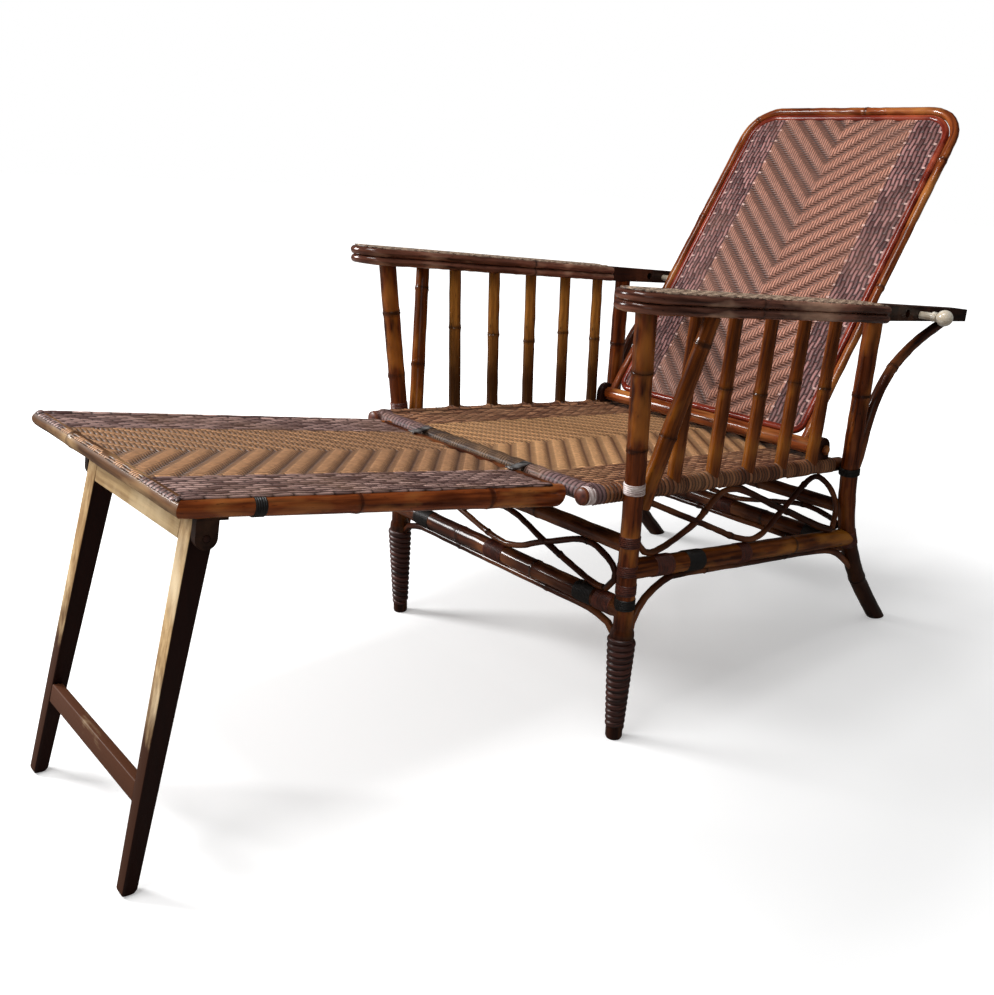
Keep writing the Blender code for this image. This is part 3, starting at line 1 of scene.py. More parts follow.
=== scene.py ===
"""Rattan chaise longue: the canes, mats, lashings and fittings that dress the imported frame.

Sizes are in metres. Places are worked out with y = 0 at the front feet and x = 0 in the middle,
as the joiner would measure them, and chair_point moves them to where the frame stands.
"""

import math
import random
from collections import namedtuple

import bmesh
import bpy
from mathutils import Matrix, Vector


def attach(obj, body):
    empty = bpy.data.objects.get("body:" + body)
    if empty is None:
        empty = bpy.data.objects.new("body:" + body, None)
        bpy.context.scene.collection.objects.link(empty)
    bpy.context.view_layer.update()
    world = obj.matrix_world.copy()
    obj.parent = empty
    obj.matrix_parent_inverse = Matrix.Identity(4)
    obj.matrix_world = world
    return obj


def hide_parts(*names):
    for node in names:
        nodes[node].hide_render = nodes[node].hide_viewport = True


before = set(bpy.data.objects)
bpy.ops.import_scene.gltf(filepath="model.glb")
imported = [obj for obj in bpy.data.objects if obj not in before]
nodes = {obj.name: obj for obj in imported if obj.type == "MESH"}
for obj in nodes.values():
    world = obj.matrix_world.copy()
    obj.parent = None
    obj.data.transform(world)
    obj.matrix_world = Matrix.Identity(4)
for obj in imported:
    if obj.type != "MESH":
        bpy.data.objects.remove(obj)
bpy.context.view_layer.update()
bpy.context.scene.view_settings.view_transform = "Standard"

SIDES = ((1, "left"), (-1, "right"))
SHIFT = Vector((0.01025, 0.09435, 0.0))  # where the frame's zero is, as the joiner measures

ARM_X = 0.292
ARM_DEPTH = 0.0262  # the board and all under the arm's top
ARM_NOSE_Y = -0.044  # the centre of the arm's round front
FRONT_LEG_RADIUS = 0.014
ANKLE_RADIUS = 0.0195
ANKLE_LOW_RADIUS = 0.0125
ANKLE_LOW = 0.018  # heights where the winding starts and ends, and where the bare cane begins
ANKLE_HIGH = 0.166
ANKLE_TOP = 0.178
REAR_LEG_RADIUS = 0.015
REAR_LEG_Y = 0.541
REAR_LEG_LOW_Y = 0.573  # where the side stretcher meets it
SEAT_RAIL_RADIUS = 0.012
SEAT_NOSE_Y = -0.082  # the front ends of the seat's side rails
SEAT_FRONT_Y = -0.062
SEAT_REAR_Y = 0.524
SPINDLE_FIRST_Y = 0.098
SPINDLE_PITCH = 0.0885
STRETCHER_RADIUS = 0.015
END_STRETCHER_RADIUS = 0.0144
POLE_RADIUS = 0.012
THIN_ROD_RADIUS = 0.0055
LATTICE_RADIUS = 0.0048
REST_GAP = 0.0003  # between canes that rest on one another

PIVOT_Y = 0.4865
PIVOT_Z = 0.3625
BACK_OFF = 0.009  # how far the back sits to the right
HOOP_HALF = 0.2227
HOOP_TOP = 0.6732
HOOP_CORNER = 0.0642

FOOTREST_HALF = 0.215
FOOTREST_TOP = 0.0045
FOOTREST_RAIL_RADII = (0.0155, 0.0100)
FOOTREST_SEAM_Y = 0.021
FOOTREST_CORNER_Y = 0.556
TOE_RAIL_Y = 0.546

STRAND_ACROSS = 0.0054
STRAND_ALONG = 0.00475
FLOAT = 8.0  # strands in one step of the chevron
EDGE_STRAND = 0.0079
EDGE_FLOAT = 0.025
EDGE_WAVES = 121.0
EDGE_WANDER = 0.0010
WRAP_STRAND = 0.0075
BACK_FIELD = 0.1385  # half the width of the chevron on each mat
SEAT_FIELD = 0.150
FOOT_FIELD = 0.118

WINDING_TURNS = 15
WINDING_STEPS = 28  # in each turn
WINDING_STRAND = 0.0058

SKY_LIGHT = 0.28
SKY_MIRRORED = 0.06


def linear(colour, share=1.0):
    """A colour as the eye reads it, 0 to 255, or a share of it, as the shader wants it."""
    return (*[((c * share / 255 + 0.055) / 1.055) ** 2.4 for c in colour], 1.0)


def grey(level):
    """An even shade."""
    return (level, level, level, 1.0)


class Value:
    """A number that changes over a surface. Arithmetic on it adds Math nodes."""

    def __init__(self, graph, socket):
        self.graph = graph
        self.socket = socket

    def math(self, operation, *others, clamp=False):
        settings = {"operation": operation, "use_clamp": clamp}
        return self.graph.node("ShaderNodeMath", settings, [self, *others])

    def __add__(self, other):
        return self.math("ADD", other)

    __radd__ = __add__

    def __sub__(self, other):
        return self.math("SUBTRACT", other)

    def __rsub__(self, other):
        return self.math("MULTIPLY_ADD", -1.0, other)

    def __mul__(self, other):
        return self.math("MULTIPLY", other)

    __rmul__ = __mul__

    def __pow__(self, other):
        return self.math("POWER", other)

    def __gt__(self, other):
        return self.math("GREATER_THAN", other)

    def __lt__(self, other):
        return self.math("LESS_THAN", other)

    def __abs__(self):
        return self.math("ABSOLUTE")

    def floor(self):
        return self.math("FLOOR")

    def fract(self):
        return self.math("FRACT")

    def sine(self):
        return self.math("SINE")

    def clamped(self):
        return self.math("ADD", 0.0, clamp=True)

    def between(self, low, high):
        """0 at low, 1 at high, straight between."""
        return ((self - low) * (1 / (high - low))).clamped()


class Graph:
    """A tree of nodes, the shader at its end, and the ways to build on it."""

    def __init__(self, tree, shader):
        self.tree = tree
        self.shader = tree.nodes[shader]

    def node(self, kind, settings=None, values=(), output=0):
        """A node, its settings first, then the values or links of its sockets."""
        made = self.tree.nodes.new(kind)
        for key, value in (settings or {}).items():
            setattr(made, key, value)
        pairs = values.items() if isinstance(values, dict) else enumerate(values)
        for key, value in pairs:
            if isinstance(value, Value):
                self.tree.links.new(value.socket, made.inputs[key])
            else:
                made.inputs[key].default_value = value
        return Value(self, made.outputs[output])

    def mix(self, share, first, second):
        """The second colour over the first."""
        return self.node("ShaderNodeMix", {"data_type": "RGBA"}, {0: share, 6: first, 7: second}, 2)

    def carried(self, attribute, output="Vector"):
        """What a piece carries under this name."""
        return self.node("ShaderNodeAttribute", {"attribute_name": attribute}, output=output)

    def own(self):
        """Object coordinates."""
        return self.node("ShaderNodeTexCoord", output="Object")

    def rays(self, kind):
        """1 for this kind of ray."""
        return self.node("ShaderNodeLightPath", output=kind)

    def stretched(self, vector, scales):
        """The vector, longer or shorter along each axis."""
        return self.node("ShaderNodeVectorMath", {"operation": "MULTIPLY"}, [vector, scales])

    def shifted(self, vector, offset):
        """The vector, moved."""
        return self.node("ShaderNodeVectorMath", {"operation": "ADD"}, [vector, offset])

    def parts(self, vector):
        """The three numbers of a vector."""
        split = self.node("ShaderNodeSeparateXYZ", None, [vector]).socket.node
        return [Value(self, socket) for socket in split.outputs]

    def noise(self, vector, scales, detail=3.0, rough=0.5):
        """Soft noise from 0 to 1, with this many waves in a metre along each axis."""
        place = self.stretched(vector, scales)
        values = {"Vector": place, "Scale": 1.0, "Detail": detail, "Roughness": rough}
        return self.node("ShaderNodeTexNoise", None, values, "Fac")

    def chance(self, first, second):
        """A number from 0 to 1 for each pair of whole numbers."""
        pair = self.node("ShaderNodeCombineXYZ", None, [first, second, 0.0])
        return self.node("ShaderNodeTexWhiteNoise", None, {"Vector": pair}, "Value")

    def wear(self, socket, value):
        """Gives the shader's socket this value."""
        self.tree.links.new(value.socket, self.shader.inputs[socket])

    def relief(self, height, depth, strength=1.0):
        """Bump from a height between 0 and 1 that stands for this many metres."""
        bump = {"Strength": strength, "Distance": depth, "Height": height}
        self.wear("Normal", self.node("ShaderNodeBump", None, bump))


class Finish(Graph):
    """One material."""

    def __init__(self, name, **constants):
        self.material = bpy.data.materials.new(name)
        self.material.use_nodes = True
        super().__init__(self.material.node_tree, "Principled BSDF")
        for socket, value in constants.items():
            self.shader.inputs[socket.replace("_", " ")].default_value = value


def cane_finish(name, dark, middle, pale, knot, roughness, seed, coat=0.45, fade=None):
    """Varnished cane: long streaks, cloudy patches, dark knots and small scars.

    It darkens between the two distances from its foot that fade gives.
    """
    finish = Finish(name, Coat_Weight=coat, Coat_Roughness=0.09, Specular_IOR_Level=0.10)
    run = finish.carried("run")
    shifted = finish.shifted(run, (seed, seed * 0.7, seed * 1.3))
    streaks = finish.noise(shifted, (150.0, 150.0, 7.0), detail=4.0, rough=0.6)
    clouds = finish.noise(shifted, (26.0, 26.0, 9.0))
    scars = finish.noise(shifted, (300.0, 300.0, 60.0), detail=2.0)
    ring = finish.carried("ring", "Fac")
    colour = finish.mix(streaks.between(0.34, 0.62), linear(dark), linear(middle))
    colour = finish.mix(clouds.between(0.50, 0.72) * 0.85, colour, linear(pale))
    colour = finish.mix(clouds.between(0.46, 0.30) * 0.75, colour, linear(dark))
    colour = finish.mix(scars.between(0.66, 0.74) * 0.7, colour, linear(knot))
    if fade:
        darker = finish.parts(run)[2].between(*fade) + (clouds - 0.5) * 0.5
        colour = finish.mix(darker.clamped() * 0.85, colour, linear(dark, 0.5))
    colour = finish.mix(ring * (0.35 + clouds * 0.8), colour, linear(knot))
    finish.wear("Base Color", colour)
    finish.wear("Coat Weight", (clouds * 0.6 + streaks * 0.6).between(0.36, 0.70) * (coat * 1.3))
    finish.wear("Roughness", clouds * 0.18 + roughness + streaks * 0.08)
    finish.relief(streaks * 0.7 + scars * 0.3 - ring * 0.5, depth=0.0004, strength=0.6)
    return finish.material


def lashing_finish(name, dark, pale, grain=(60.0, 60.0, 500.0)):
    """Split cane, satin, with fibres that follow the grain."""
    finish = Finish(name, Coat_Weight=0.15, Coat_Roughness=0.25)
    run = finish.carried("run")
    fibres = finish.noise(run, grain)
    clouds = finish.noise(run, (40.0, 40.0, 40.0), detail=2.0)
    colour = finish.mix(fibres.between(0.35, 0.65), linear(dark), linear(pale))
    colour = finish.mix(clouds.between(0.5, 0.75) * 0.6, colour, linear(dark))
    finish.wear("Base Color", colour)
    finish.wear("Roughness", fibres * 0.25 + 0.35)
    finish.relief(fibres, depth=0.0003, strength=0.5)
    return finish.material


def wood_finish(name, dark, middle, pale, roughness, grain=(130.0, 130.0, 9.0), sides=None, darkened_low=None):
    """Worn timber with long grain and stains.

    Its sides take a darker colour where one is given, painted shade on the faces that turn
    sideways, and it darkens downwards between two heights.
    """
    finish = Finish(name, Coat_Weight=0.04, Coat_Roughness=0.3, Specular_IOR_Level=0.15)
    own = finish.own()
    grains = finish.noise(own, grain, detail=5.0, rough=0.65)
    stains = finish.noise(own, (14.0, 14.0, 9.0), detail=4.0)
    specks = finish.noise(own, (420.0, 420.0, 420.0), detail=2.0)
    colour = finish.mix(grains.between(0.33, 0.66), linear(dark), linear(middle))
    colour = finish.mix(stains.between(0.52, 0.72) * 0.8, colour, linear(pale))
    colour = finish.mix(stains.between(0.48, 0.32) * 0.8, colour, linear(dark))
    colour = finish.mix(specks.between(0.66, 0.78) * 0.5, colour, linear(dark))
    # Darker towards the bottom, between two heights.
    if darkened_low:
        high, low, darkened_low_colour = darkened_low
        level = finish.parts(own)[2] + (grains - 0.5) * 0.12 + (stains - 0.5) * 0.25
        colour = finish.mix(level.between(high, low), colour, linear(darkened_low_colour))
    # Painted shade: faces that turn towards x take the darker side colour.
    if sides:
        facing = finish.parts(finish.node("ShaderNodeNewGeometry", output="Normal"))[0]
        shade = finish.mix(grains, linear(sides), linear(sides, 1.7))
        colour = finish.mix(abs(facing).between(0.45, 0.75), colour, shade)
    finish.wear("Base Color", colour)
    finish.wear("Roughness", grains * 0.25 + roughness)
    finish.relief(grains * 0.8 + specks * 0.2, depth=0.0006, strength=0.6)
    return finish.material


def arch(share, power=2):
    """From 0 up to 1 and back over a share from 0 to 1. A higher power makes it flatter."""
    return 1 - abs(share * 2 - 1) ** power


def blend(share, first, second):
    """The first number where the share is 0, the second where it is 1."""
    return first * (1 - share) + second * share


def chevron(out, along, towards):
    """Strands over four and under four.

    Gives their relief, the hollows between the chevron's ribs, and which strands they are.
    """
    column = out * (1 / STRAND_ACROSS)
    row = along * (towards / STRAND_ALONG)
    column_whole = column.floor()
    row_whole = row.floor()
    over = ((row_whole - column_whole) * (1 / FLOAT)).fract() < 0.5
    reach_along = ((row - column_whole) * (1 / FLOAT)).fract() * 2
    reach_across = ((row_whole - column) * (1 / FLOAT)).fract() * 2 - 1
    strand_along = arch(column.fract()) * (arch(reach_along, 6).clamped() * 0.45 + 0.55)
    strand_across = arch(row.fract()) * (arch(reach_across, 6).clamped() * 0.45 + 0.35)
    phase = ((row - column) * (1 / FLOAT)).fract()
    hollow = (1 - abs(phase - 0.75) * (1 / 0.23)).clamped()
    return blend(over, strand_across, strand_along), hollow, column_whole, row_whole


def side_floats(finish, out, along):
    """The long strands at both sides of a mat: their relief, and each one's share of painted highlight."""
    column = (out + (along * EDGE_WAVES).sine() * EDGE_WANDER) * (1 / EDGE_STRAND)
    whole = column.floor()
    reach = along * (1 / EDGE_FLOAT) + whole * 0.5
    relief = arch(column.fract()) * (arch(reach.fract(), 5).clamped() * 0.8 + 0.2)
    return relief, finish.chance(whole, reach.floor())


def mat_finish(name, ridge, valley, edge, edge_pale_highlight, field, seed, towards=1.0, right_relief=1.0,
               stitched=None, wrapped=None, seam=None):
    """A chevron mat of split cane, with long floats outside its field.

    It may have two lines of stitches, strands wrapped over its side rails and a dark seam
    along its front. Towards is -1 where the chevron points the other way.
    """
    finish = Finish(name, Coat_Weight=0.08, Coat_Roughness=0.25, Specular_IOR_Level=0.35)
    mat = finish.carried("mat")
    across, along, _ = finish.parts(mat)
    out = abs(across)
    age = finish.noise(mat, (9.0, 9.0, 1.0), detail=4.0)
    fibre = finish.noise(mat, (900.0, 60.0, 1.0))
    roughness = age * 0.2 + 0.34

    relief, hollow, column, row = chevron(out, along, towards)
    relief = relief * ((across > 0.0) * (1 - right_relief) + right_relief)
    # Painted shade: the chevron's hollows take the valley colour.
    colour = finish.mix(hollow ** 0.8, linear(ridge), linear(valley))
    colour = finish.mix(finish.chance(column, row * 0.5 + seed) * 0.30, colour, linear(valley))
    colour = finish.mix(fibre.between(0.45, 0.8) * 0.5, colour, linear(ridge, 0.62))

    edge_relief, glint = side_floats(finish, out, along)
    border = out.between(field, field + 0.002)
    relief = blend(border, relief, edge_relief)
    # Random strands take the pale colour on their crowns, a painted highlight.
    colour = finish.mix(border, colour, finish.mix(glint * edge_relief, linear(edge), linear(edge_pale_highlight)))
    if wrapped:
        turn = along * (1 / WRAP_STRAND) + 0.25
        wrap = out > wrapped
        relief = blend(wrap, relief, arch(turn.fract()))
        wrap_shade = finish.chance(turn.floor(), seed)
        wrap_colour = finish.mix(wrap_shade, linear((160, 106, 70)), linear((88, 48, 28)))
        colour = finish.mix(wrap, colour, wrap_colour)
    if seam:
        front, corner = seam
        within = along < front
        seam_colour = finish.mix(out > corner, linear((36, 19, 12)), linear((112, 86, 88)))
        colour = finish.mix(within * 0.90, colour, seam_colour)
        roughness = within * 0.35 + roughness
    if stitched:
        line = abs(abs(out - field - stitched / 2) - stitched / 2) < 0.0028
        stitch = line * ((along * 40.0).fract() < 0.16)
        colour = finish.mix(stitch * 0.55, colour, linear((226, 190, 178)))
        relief = relief.math("MAXIMUM", stitch * 0.8)
    # Painted shade between the strands, where the relief is low.
    colour = finish.mix(relief.between(0.72, 0.0) * 0.90, colour, linear(valley, 0.34))
    colour = finish.mix(age.between(0.48, 0.72) * 0.45, colour, linear(ridge, 0.60))
    finish.wear("Base Color", colour)
    finish.wear("Roughness", roughness)
    finish.relief(relief, depth=0.0019)
    return finish.material


def iron_finish():
    """Dull strap iron, rubbed bright in places."""
    finish = Finish("strap_iron", Metallic=0.85)
    own = finish.own()
    rub = finish.noise(own, (90.0, 90.0, 90.0), detail=4.0)
    pits = finish.noise(own, (700.0, 700.0, 700.0), detail=2.0)
    colour = finish.mix(rub.between(0.4, 0.65), linear((84, 82, 82)), linear((168, 166, 164)))
    finish.wear("Base Color", colour)
    finish.wear("Roughness", rub * 0.3 + 0.30)
    finish.relief(pits, depth=0.0003, strength=0.6)
    return finish.material


def knob_finish():
    """Pale turned wood under old varnish."""
    finish = Finish("pale_turned_wood", Coat_Weight=0.6, Coat_Roughness=0.08)
    grain = finish.noise(finish.carried("run"), (120.0, 120.0, 30.0), detail=4.0)
    colour = finish.mix(grain.between(0.4, 0.7), linear((196, 182, 160)), linear((240, 236, 226)))
    finish.wear("Base Color", colour)
    finish.wear("Roughness", grain * 0.2 + 0.18)
    finish.relief(grain, depth=0.0002, strength=0.4)
    return finish.material


REAR_CANE = cane_finish("rear_leg_cane", (46, 14, 2), (112, 50, 10), (170, 98, 36), (22, 8, 3),
                        roughness=0.20, seed=7.0, fade=(0.36, 0.24))
FRONT_CANE = cane_finish("front_leg_cane", (46, 14, 2), (114, 51, 9), (196, 118, 40), (22, 8, 3),
                         roughness=0.20, seed=10.0, fade=(0.215, 0.165))
HOOP_CANE = cane_finish("hoop_cane", (66, 23, 7), (140, 68, 26), (196, 128, 64), (40, 14, 6),
                        roughness=0.18, seed=8.0, coat=0.6)
AMBER_CANE = cane_finish("amber_cane", (54, 18, 2), (122, 61, 10), (178, 112, 34), (30, 11, 3),
                         roughness=0.22, seed=2.0)
# The far spindles' copy of the amber cane: paler as painted light, darker towards its foot as painted shade.
FAR_CANE_PAINTED_LIGHT = cane_finish("far_spindle_cane_painted_light", (70, 32, 4), (158, 102, 38), (196, 150, 74), (36, 15, 5),
                       roughness=0.22, seed=9.0, fade=(0.18, 0.06))
DARK_CANE = cane_finish("dark_cane", (30, 11, 4), (74, 33, 14), (128, 74, 38), (15, 7, 4),
                        roughness=0.22, seed=3.0)
ARM_CANE = cane_finish("arm_cane", (50, 24, 17), (124, 76, 58), (222, 176, 146), (20, 10, 8),
                       roughness=0.16, seed=4.0, coat=1.0)
RED_ROD = cane_finish("red_rod", (74, 18, 9), (126, 40, 22), (178, 84, 54), (44, 12, 7),
                      roughness=0.20, seed=5.0, coat=0.6)
PALE_CANE = cane_finish("pale_cane", (62, 37, 19), (108, 73, 44), (192, 156, 110), (52, 30, 15),
                        roughness=0.40, seed=6.0, coat=0.1)
BLACK_LASHING = lashing_finish("black_lashing", (8, 6, 5), (34, 27, 22))
BROWN_LASHING = lashing_finish("brown_lashing", (50, 15, 6), (108, 46, 22))
PALE_LASHING = lashing_finish("pale_lashing", (150, 124, 118), (236, 224, 220))
GREY_LASHING = lashing_finish("grey_lashing", (66, 48, 48), (136, 112, 112))
ANKLE_CANE = lashing_finish("ankle_cane", (28, 9, 5), (82, 36, 22), grain=(420.0, 420.0, 12.0))
# The legs' sides take painted shade.
LEG_WOOD = wood_finish("leg_wood", (146, 108, 66), (212, 180, 132), (240, 218, 180), roughness=0.40,
                       sides=(26, 9, 4), darkened_low=(0.29, 0.165, (64, 34, 18)))
BAR_WOOD = wood_finish("bar_wood", (138, 104, 64), (198, 166, 118), (230, 206, 164), roughness=0.42,
                       grain=(9.0, 130.0, 130.0), darkened_low=(0.29, 0.165, (80, 46, 28)))
BATTEN_WOOD = wood_finish("batten_wood", (24, 12, 7), (54, 30, 18), (92, 60, 38), roughness=0.40,
                          grain=(9.0, 130.0, 130.0))
BOARD_WOOD = wood_finish("board_wood", (26, 11, 6), (62, 31, 18), (112, 66, 42), roughness=0.30,
                         grain=(130.0, 9.0, 130.0))
CHEEK_WOOD = wood_finish("cheek_wood", (22, 11, 8), (50, 24, 16), (90, 52, 38), roughness=0.26)
IRON = iron_finish()
KNOB = knob_finish()
BACK_MAT = mat_finish("back_mat", (194, 134, 112), (86, 47, 33), (78, 45, 45), (170, 120, 116),
                      BACK_FIELD, seed=1.0, right_relief=0.55, stitched=0.058)
SEAT_MAT = mat_finish("seat_mat", (240, 182, 128), (94, 54, 28), (92, 54, 38), (200, 146, 110),
                      SEAT_FIELD, seed=2.0, towards=-1.0, wrapped=0.243, seam=(-0.047, 0.122))
FOOT_MAT = mat_finish("foot_mat", (202, 150, 108), (76, 44, 25), (86, 59, 56), (198, 162, 152),
                      FOOT_FIELD, seed=3.0)
ARM_MAT = mat_finish("arm_mat", (206, 178, 152), (92, 62, 46), (84, 58, 46), (170, 144, 124),
                     field=0.200, seed=4.0)


def chair_point(x, y, z):
    """A place on the chair."""
    return Vector((x, y, z)) - SHIFT


class Joint:
    """A frame turned about X at a pivot, in which a moving assembly is measured."""

    def __init__(self, y, z, angle):
        self.pivot = Vector((0.0, y, z))
        self.turn = Matrix.Rotation(-angle, 3, "X")

    def point(self, x, y, z):
        return self.pivot + self.turn @ Vector((x, y, z)) - SHIFT


def arm_height(y):
    """The arm's top."""
    return 0.645 - 0.0723 * y


def seat_height(y):
    """The centre of the seat's side rail."""
    return 0.371 - 0.080 * y


def stretcher_height(y):
    """The centre of the side stretcher."""
    return 0.2655 - 0.122 * y


def rail_x(y):
    """The seat's side rail, just inside the legs."""
    return 0.2437 + 0.0055 * y / REAR_LEG_Y


def rail_point(side, y):
    """A place on the seat's side rail."""
    return chair_point(side * rail_x(y), y, seat_height(y))


BACK_TILT = math.radians(34)
FOOTREST_RISE = math.radians(8.1)
LEG_LEAN = math.radians(13.6)
on_back = Joint(PIVOT_Y, PIVOT_Z, BACK_TILT)
on_footrest = Joint(SEAT_FRONT_Y, seat_height(SEAT_FRONT_Y), FOOTREST_RISE)
pin = on_footrest.point(0.0, -0.5124, -0.0421) + SHIFT
on_legs = Joint(pin.y, pin.z, LEG_LEAN)
LEG_LENGTH = pin.z / math.cos(LEG_LEAN)


def clamp(value):
    """The value, kept between 0 and 1."""
    return min(1.0, max(0.0, value))


def arc(radius, start, stop, steps, x=0.0, y=0.0):
    """Part of a circle about x, y, from one angle in degrees to another."""
    angles = [math.radians(start + (stop - start) * step / steps) for step in range(steps + 1)]
    return [(x + radius * math.cos(angle), y + radius * math.sin(angle)) for angle in angles]


def lengths_along(route):
    """The distance of each point from the start."""
    found = [0.0]
    for start, end in zip(route, route[1:]):
        found.append(found[-1] + (end - start).length)
    return found


def point_at(route, lengths, distance):
    """The point this far along."""
    for i in range(len(route) - 1):
        if distance <= lengths[i + 1] or i == len(route) - 2:
            return route[i].lerp(route[i + 1], (distance - lengths[i]) / (lengths[i + 1] - lengths[i]))


def bent(points, steps=6):
    """A smooth curve through the points."""
    points = [Vector(point) for point in points]
    ends = [2 * points[0] - points[1]] + points + [2 * points[-1] - points[-2]]
    route = []
    for before, start, end, after in zip(ends, ends[1:], ends[2:], ends[3:]):
        for step in range(steps):
            t = step / steps
            route.append(0.5 * (2 * start + (end - before) * t
                                + (2 * before - 5 * start + 4 * end - after) * t * t
                                + (3 * start - before - 3 * end + after) * t ** 3))
    return route + [points[-1]]


def along_to(route, height):
    """How far along a rising route it reaches this height."""
    lengths = lengths_along(route)
    for i, (start, end) in enumerate(zip(route, route[1:])):
        if start.z <= height <= end.z:
            return lengths[i] + (lengths[i + 1] - lengths[i]) * (height - start.z) / (end.z - start.z)
    return lengths[-1]


def height_point(route, height):
    """Where a rising route reaches this height."""
    return point_at(route, lengths_along(route), along_to(route, height))


def layer(store, name):
    """What the points carry under this name, made when it isn't there yet."""
    return store.get(name) or store.new(name)


def sweep(shape, route, sizes, rings=None, sides=16, closed=False):
    """Draws a round section along the route.

    Each point carries its place on the section and its distance along the route as run, and
    how dark its knot is as ring.
    """
    run = layer(shape.verts.layers.float_vector, "run")
    knot = layer(shape.verts.layers.float, "ring")
    local = layer(shape.verts.layers.float_vector, "local")
    lengths = lengths_along(route)
    rings = rings or [0.0] * len(route)
    verts = bmesh.ops.create_circle(shape, cap_ends=False, segments=sides, radius=1.0)["verts"]
    for vert in verts:
        vert[local] = vert.co
    edges = list({edge for vert in verts for edge in vert.link_edges})
    start_edges = edges
    count = len(route)
    side = (route[1] - route[0]).normalized().orthogonal().normalized()
    for i in range(count):
        if i:
            made = bmesh.ops.extrude_edge_only(shape, edges=edges)["geom"]
            verts = [item for item in made if isinstance(item, bmesh.types.BMVert)]
            fresh = set(verts)
            edges = [item for item in made if isinstance(item, bmesh.types.BMEdge)
                     and item.verts[0] in fresh and item.verts[1] in fresh]
        if closed:
            ahead = (route[(i + 1) % count] - route[i - 1]).normalized()
        else:
            ahead = (route[min(i + 1, count - 1)] - route[max(i - 1, 0)]).normalized()
        side = (side - ahead * side.dot(ahead)).normalized()
        other = ahead.cross(side)
        for vert in verts:
            x, y, _ = vert[local]
            vert.co = route[i] + (side * x + other * y) * sizes[i]
            vert[run] = (x * sizes[i], y * sizes[i], lengths[i])
            vert[knot] = rings[i]
    if closed:
        bmesh.ops.bridge_loops(shape, edges=start_edges + edges)
    else:
        bmesh.ops.holes_fill(shape, edges=start_edges + edges, sides=sides)


def made_piece(name, shape, material, body, stands_for):
    """A piece from its shape: finish on, riding on its body."""
    mesh = bpy.data.meshes.new(name)
    shape.to_mesh(mesh)
    shape.free()
    mesh.materials.append(material)
    mesh.shade_smooth()
    piece = bpy.data.objects.new(name, mesh)
    bpy.context.scene.collection.objects.link(piece)
    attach(piece, body)
    if stands_for:
        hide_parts(*stands_for)
    return piece


def finished(name, shape, material, body, stands_for=()):
    """A piece of cane, wood or lashing: faces outwards, sharp edges kept."""
    bmesh.ops.recalc_face_normals(shape, faces=shape.faces)
    piece = made_piece(name, shape, material, body, stands_for)
    piece.data.set_sharp_from_angle(angle=math.radians(50))


def repainted(node, material):
    """Puts the finish on a solid that shows as it is."""
    materials = nodes[node].data.materials
    materials.clear()
    materials.append(material)


# Along a cane's knot: the place, how proud it stands and how dark it is.
KNOT_SECTION = ((-0.0085, 0.0, 0.0), (-0.0045, 0.0002, 0.1), (-0.0018, 0.0009, 0.5), (-0.0005, 0.0011, 1.0),
                (0.0005, 0.0002, 1.0), (0.0018, 0.0007, 0.6), (0.0050, 0.0001, 0.1), (0.0085, 0.0, 0.0))


def cane_sections(route, radii, knots, seed, spacing=0.020):
    """Points, sizes and knot marks of a cane: uneven, a little crooked, ringed at its knots.

    Radii is one number, or a pair for its two ends. Knots are distances from its start.
    """
    chance = random.Random(seed)
    uneven, sway = 0.00025, 0.0003
    start_radius, end_radius = radii if isinstance(radii, tuple) else (radii, radii)
    lengths = lengths_along(route)
    total = lengths[-1]
    marks = {0.0: (0.0, 0.0), total: (0.0, 0.0)}
    count = max(2, round(total / spacing))
    for step in range(1, count):
        distance = total * step / count
        if all(abs(distance - knot) > 0.010 for knot in knots):
            marks[distance] = (chance.uniform(-uneven, uneven), 0.0)
    for knot in knots:
        for offset, proud, dark in KNOT_SECTION:
            if 0.0 < knot + offset < total:
                marks[knot + offset] = (proud, dark)
    places, sizes, rings = [], [], []
    for distance in sorted(marks):
        proud, dark = marks[distance]
        share = distance / total
        point = point_at(route, lengths, distance)
        if 0.0 < share < 1.0:
            point = point + Vector([chance.uniform(-sway, sway) for _ in range(3)])
        places.append(point)
        sizes.append(start_radius + (end_radius - start_radius) * share + proud)
        rings.append(dark)
    return places, sizes, rings


def saw(shape, point, normal):
    """Saws off what lies beyond the plane and closes the end."""
    geometry = [*shape.verts, *shape.edges, *shape.faces]
    cut = bmesh.ops.bisect_plane(shape, geom=geometry, plane_co=point, plane_no=normal, clear_outer=True)
    edges = [item for item in cut["geom_cut"] if isinstance(item, bmesh.types.BMEdge)]
    bmesh.ops.holes_fill(shape, edges=edges, sides=0)


def cane(name, route, radii, material, body, knots, stands_for, sides=18, spacing=0.020, cuts=()):
    """A cane as one piece, sawn where cuts say."""
    route = [Vector(point) for point in route]
    places, sizes, rings = cane_sections(route, radii, knots, name, spacing)
    shape = bmesh.new()
    sweep(shape, places, sizes, rings, sides)
    for point, normal in cuts:
        saw(shape, point, normal)
    finished(name, shape, material, body, stands_for)


# Over one turn of a lashing: the share of the turn and how proud the strand stands.
TURN_SECTION = ((0.0, 0.0002), (0.25, 0.0009), (0.5, 0.0011), (0.75, 0.0009))


def lashing_onto(shape, route, start, end, radius, strand=0.0026):
    """Turns of split cane round a cane, side by side, from one distance to another."""
    lengths = lengths_along(route)
    turns = max(2, round((end - start) / strand))
    places, sizes = [], []
    for turn in range(turns):
        for share, proud in TURN_SECTION:
            distance = start + (end - start) * (turn + share) / turns
            places.append(point_at(route, lengths, distance))
            sizes.append(radius + proud)
    places.append(point_at(route, lengths, end))
    sizes.append(radius + TURN_SECTION[0][1])
    sweep(shape, places, sizes, sides=18)


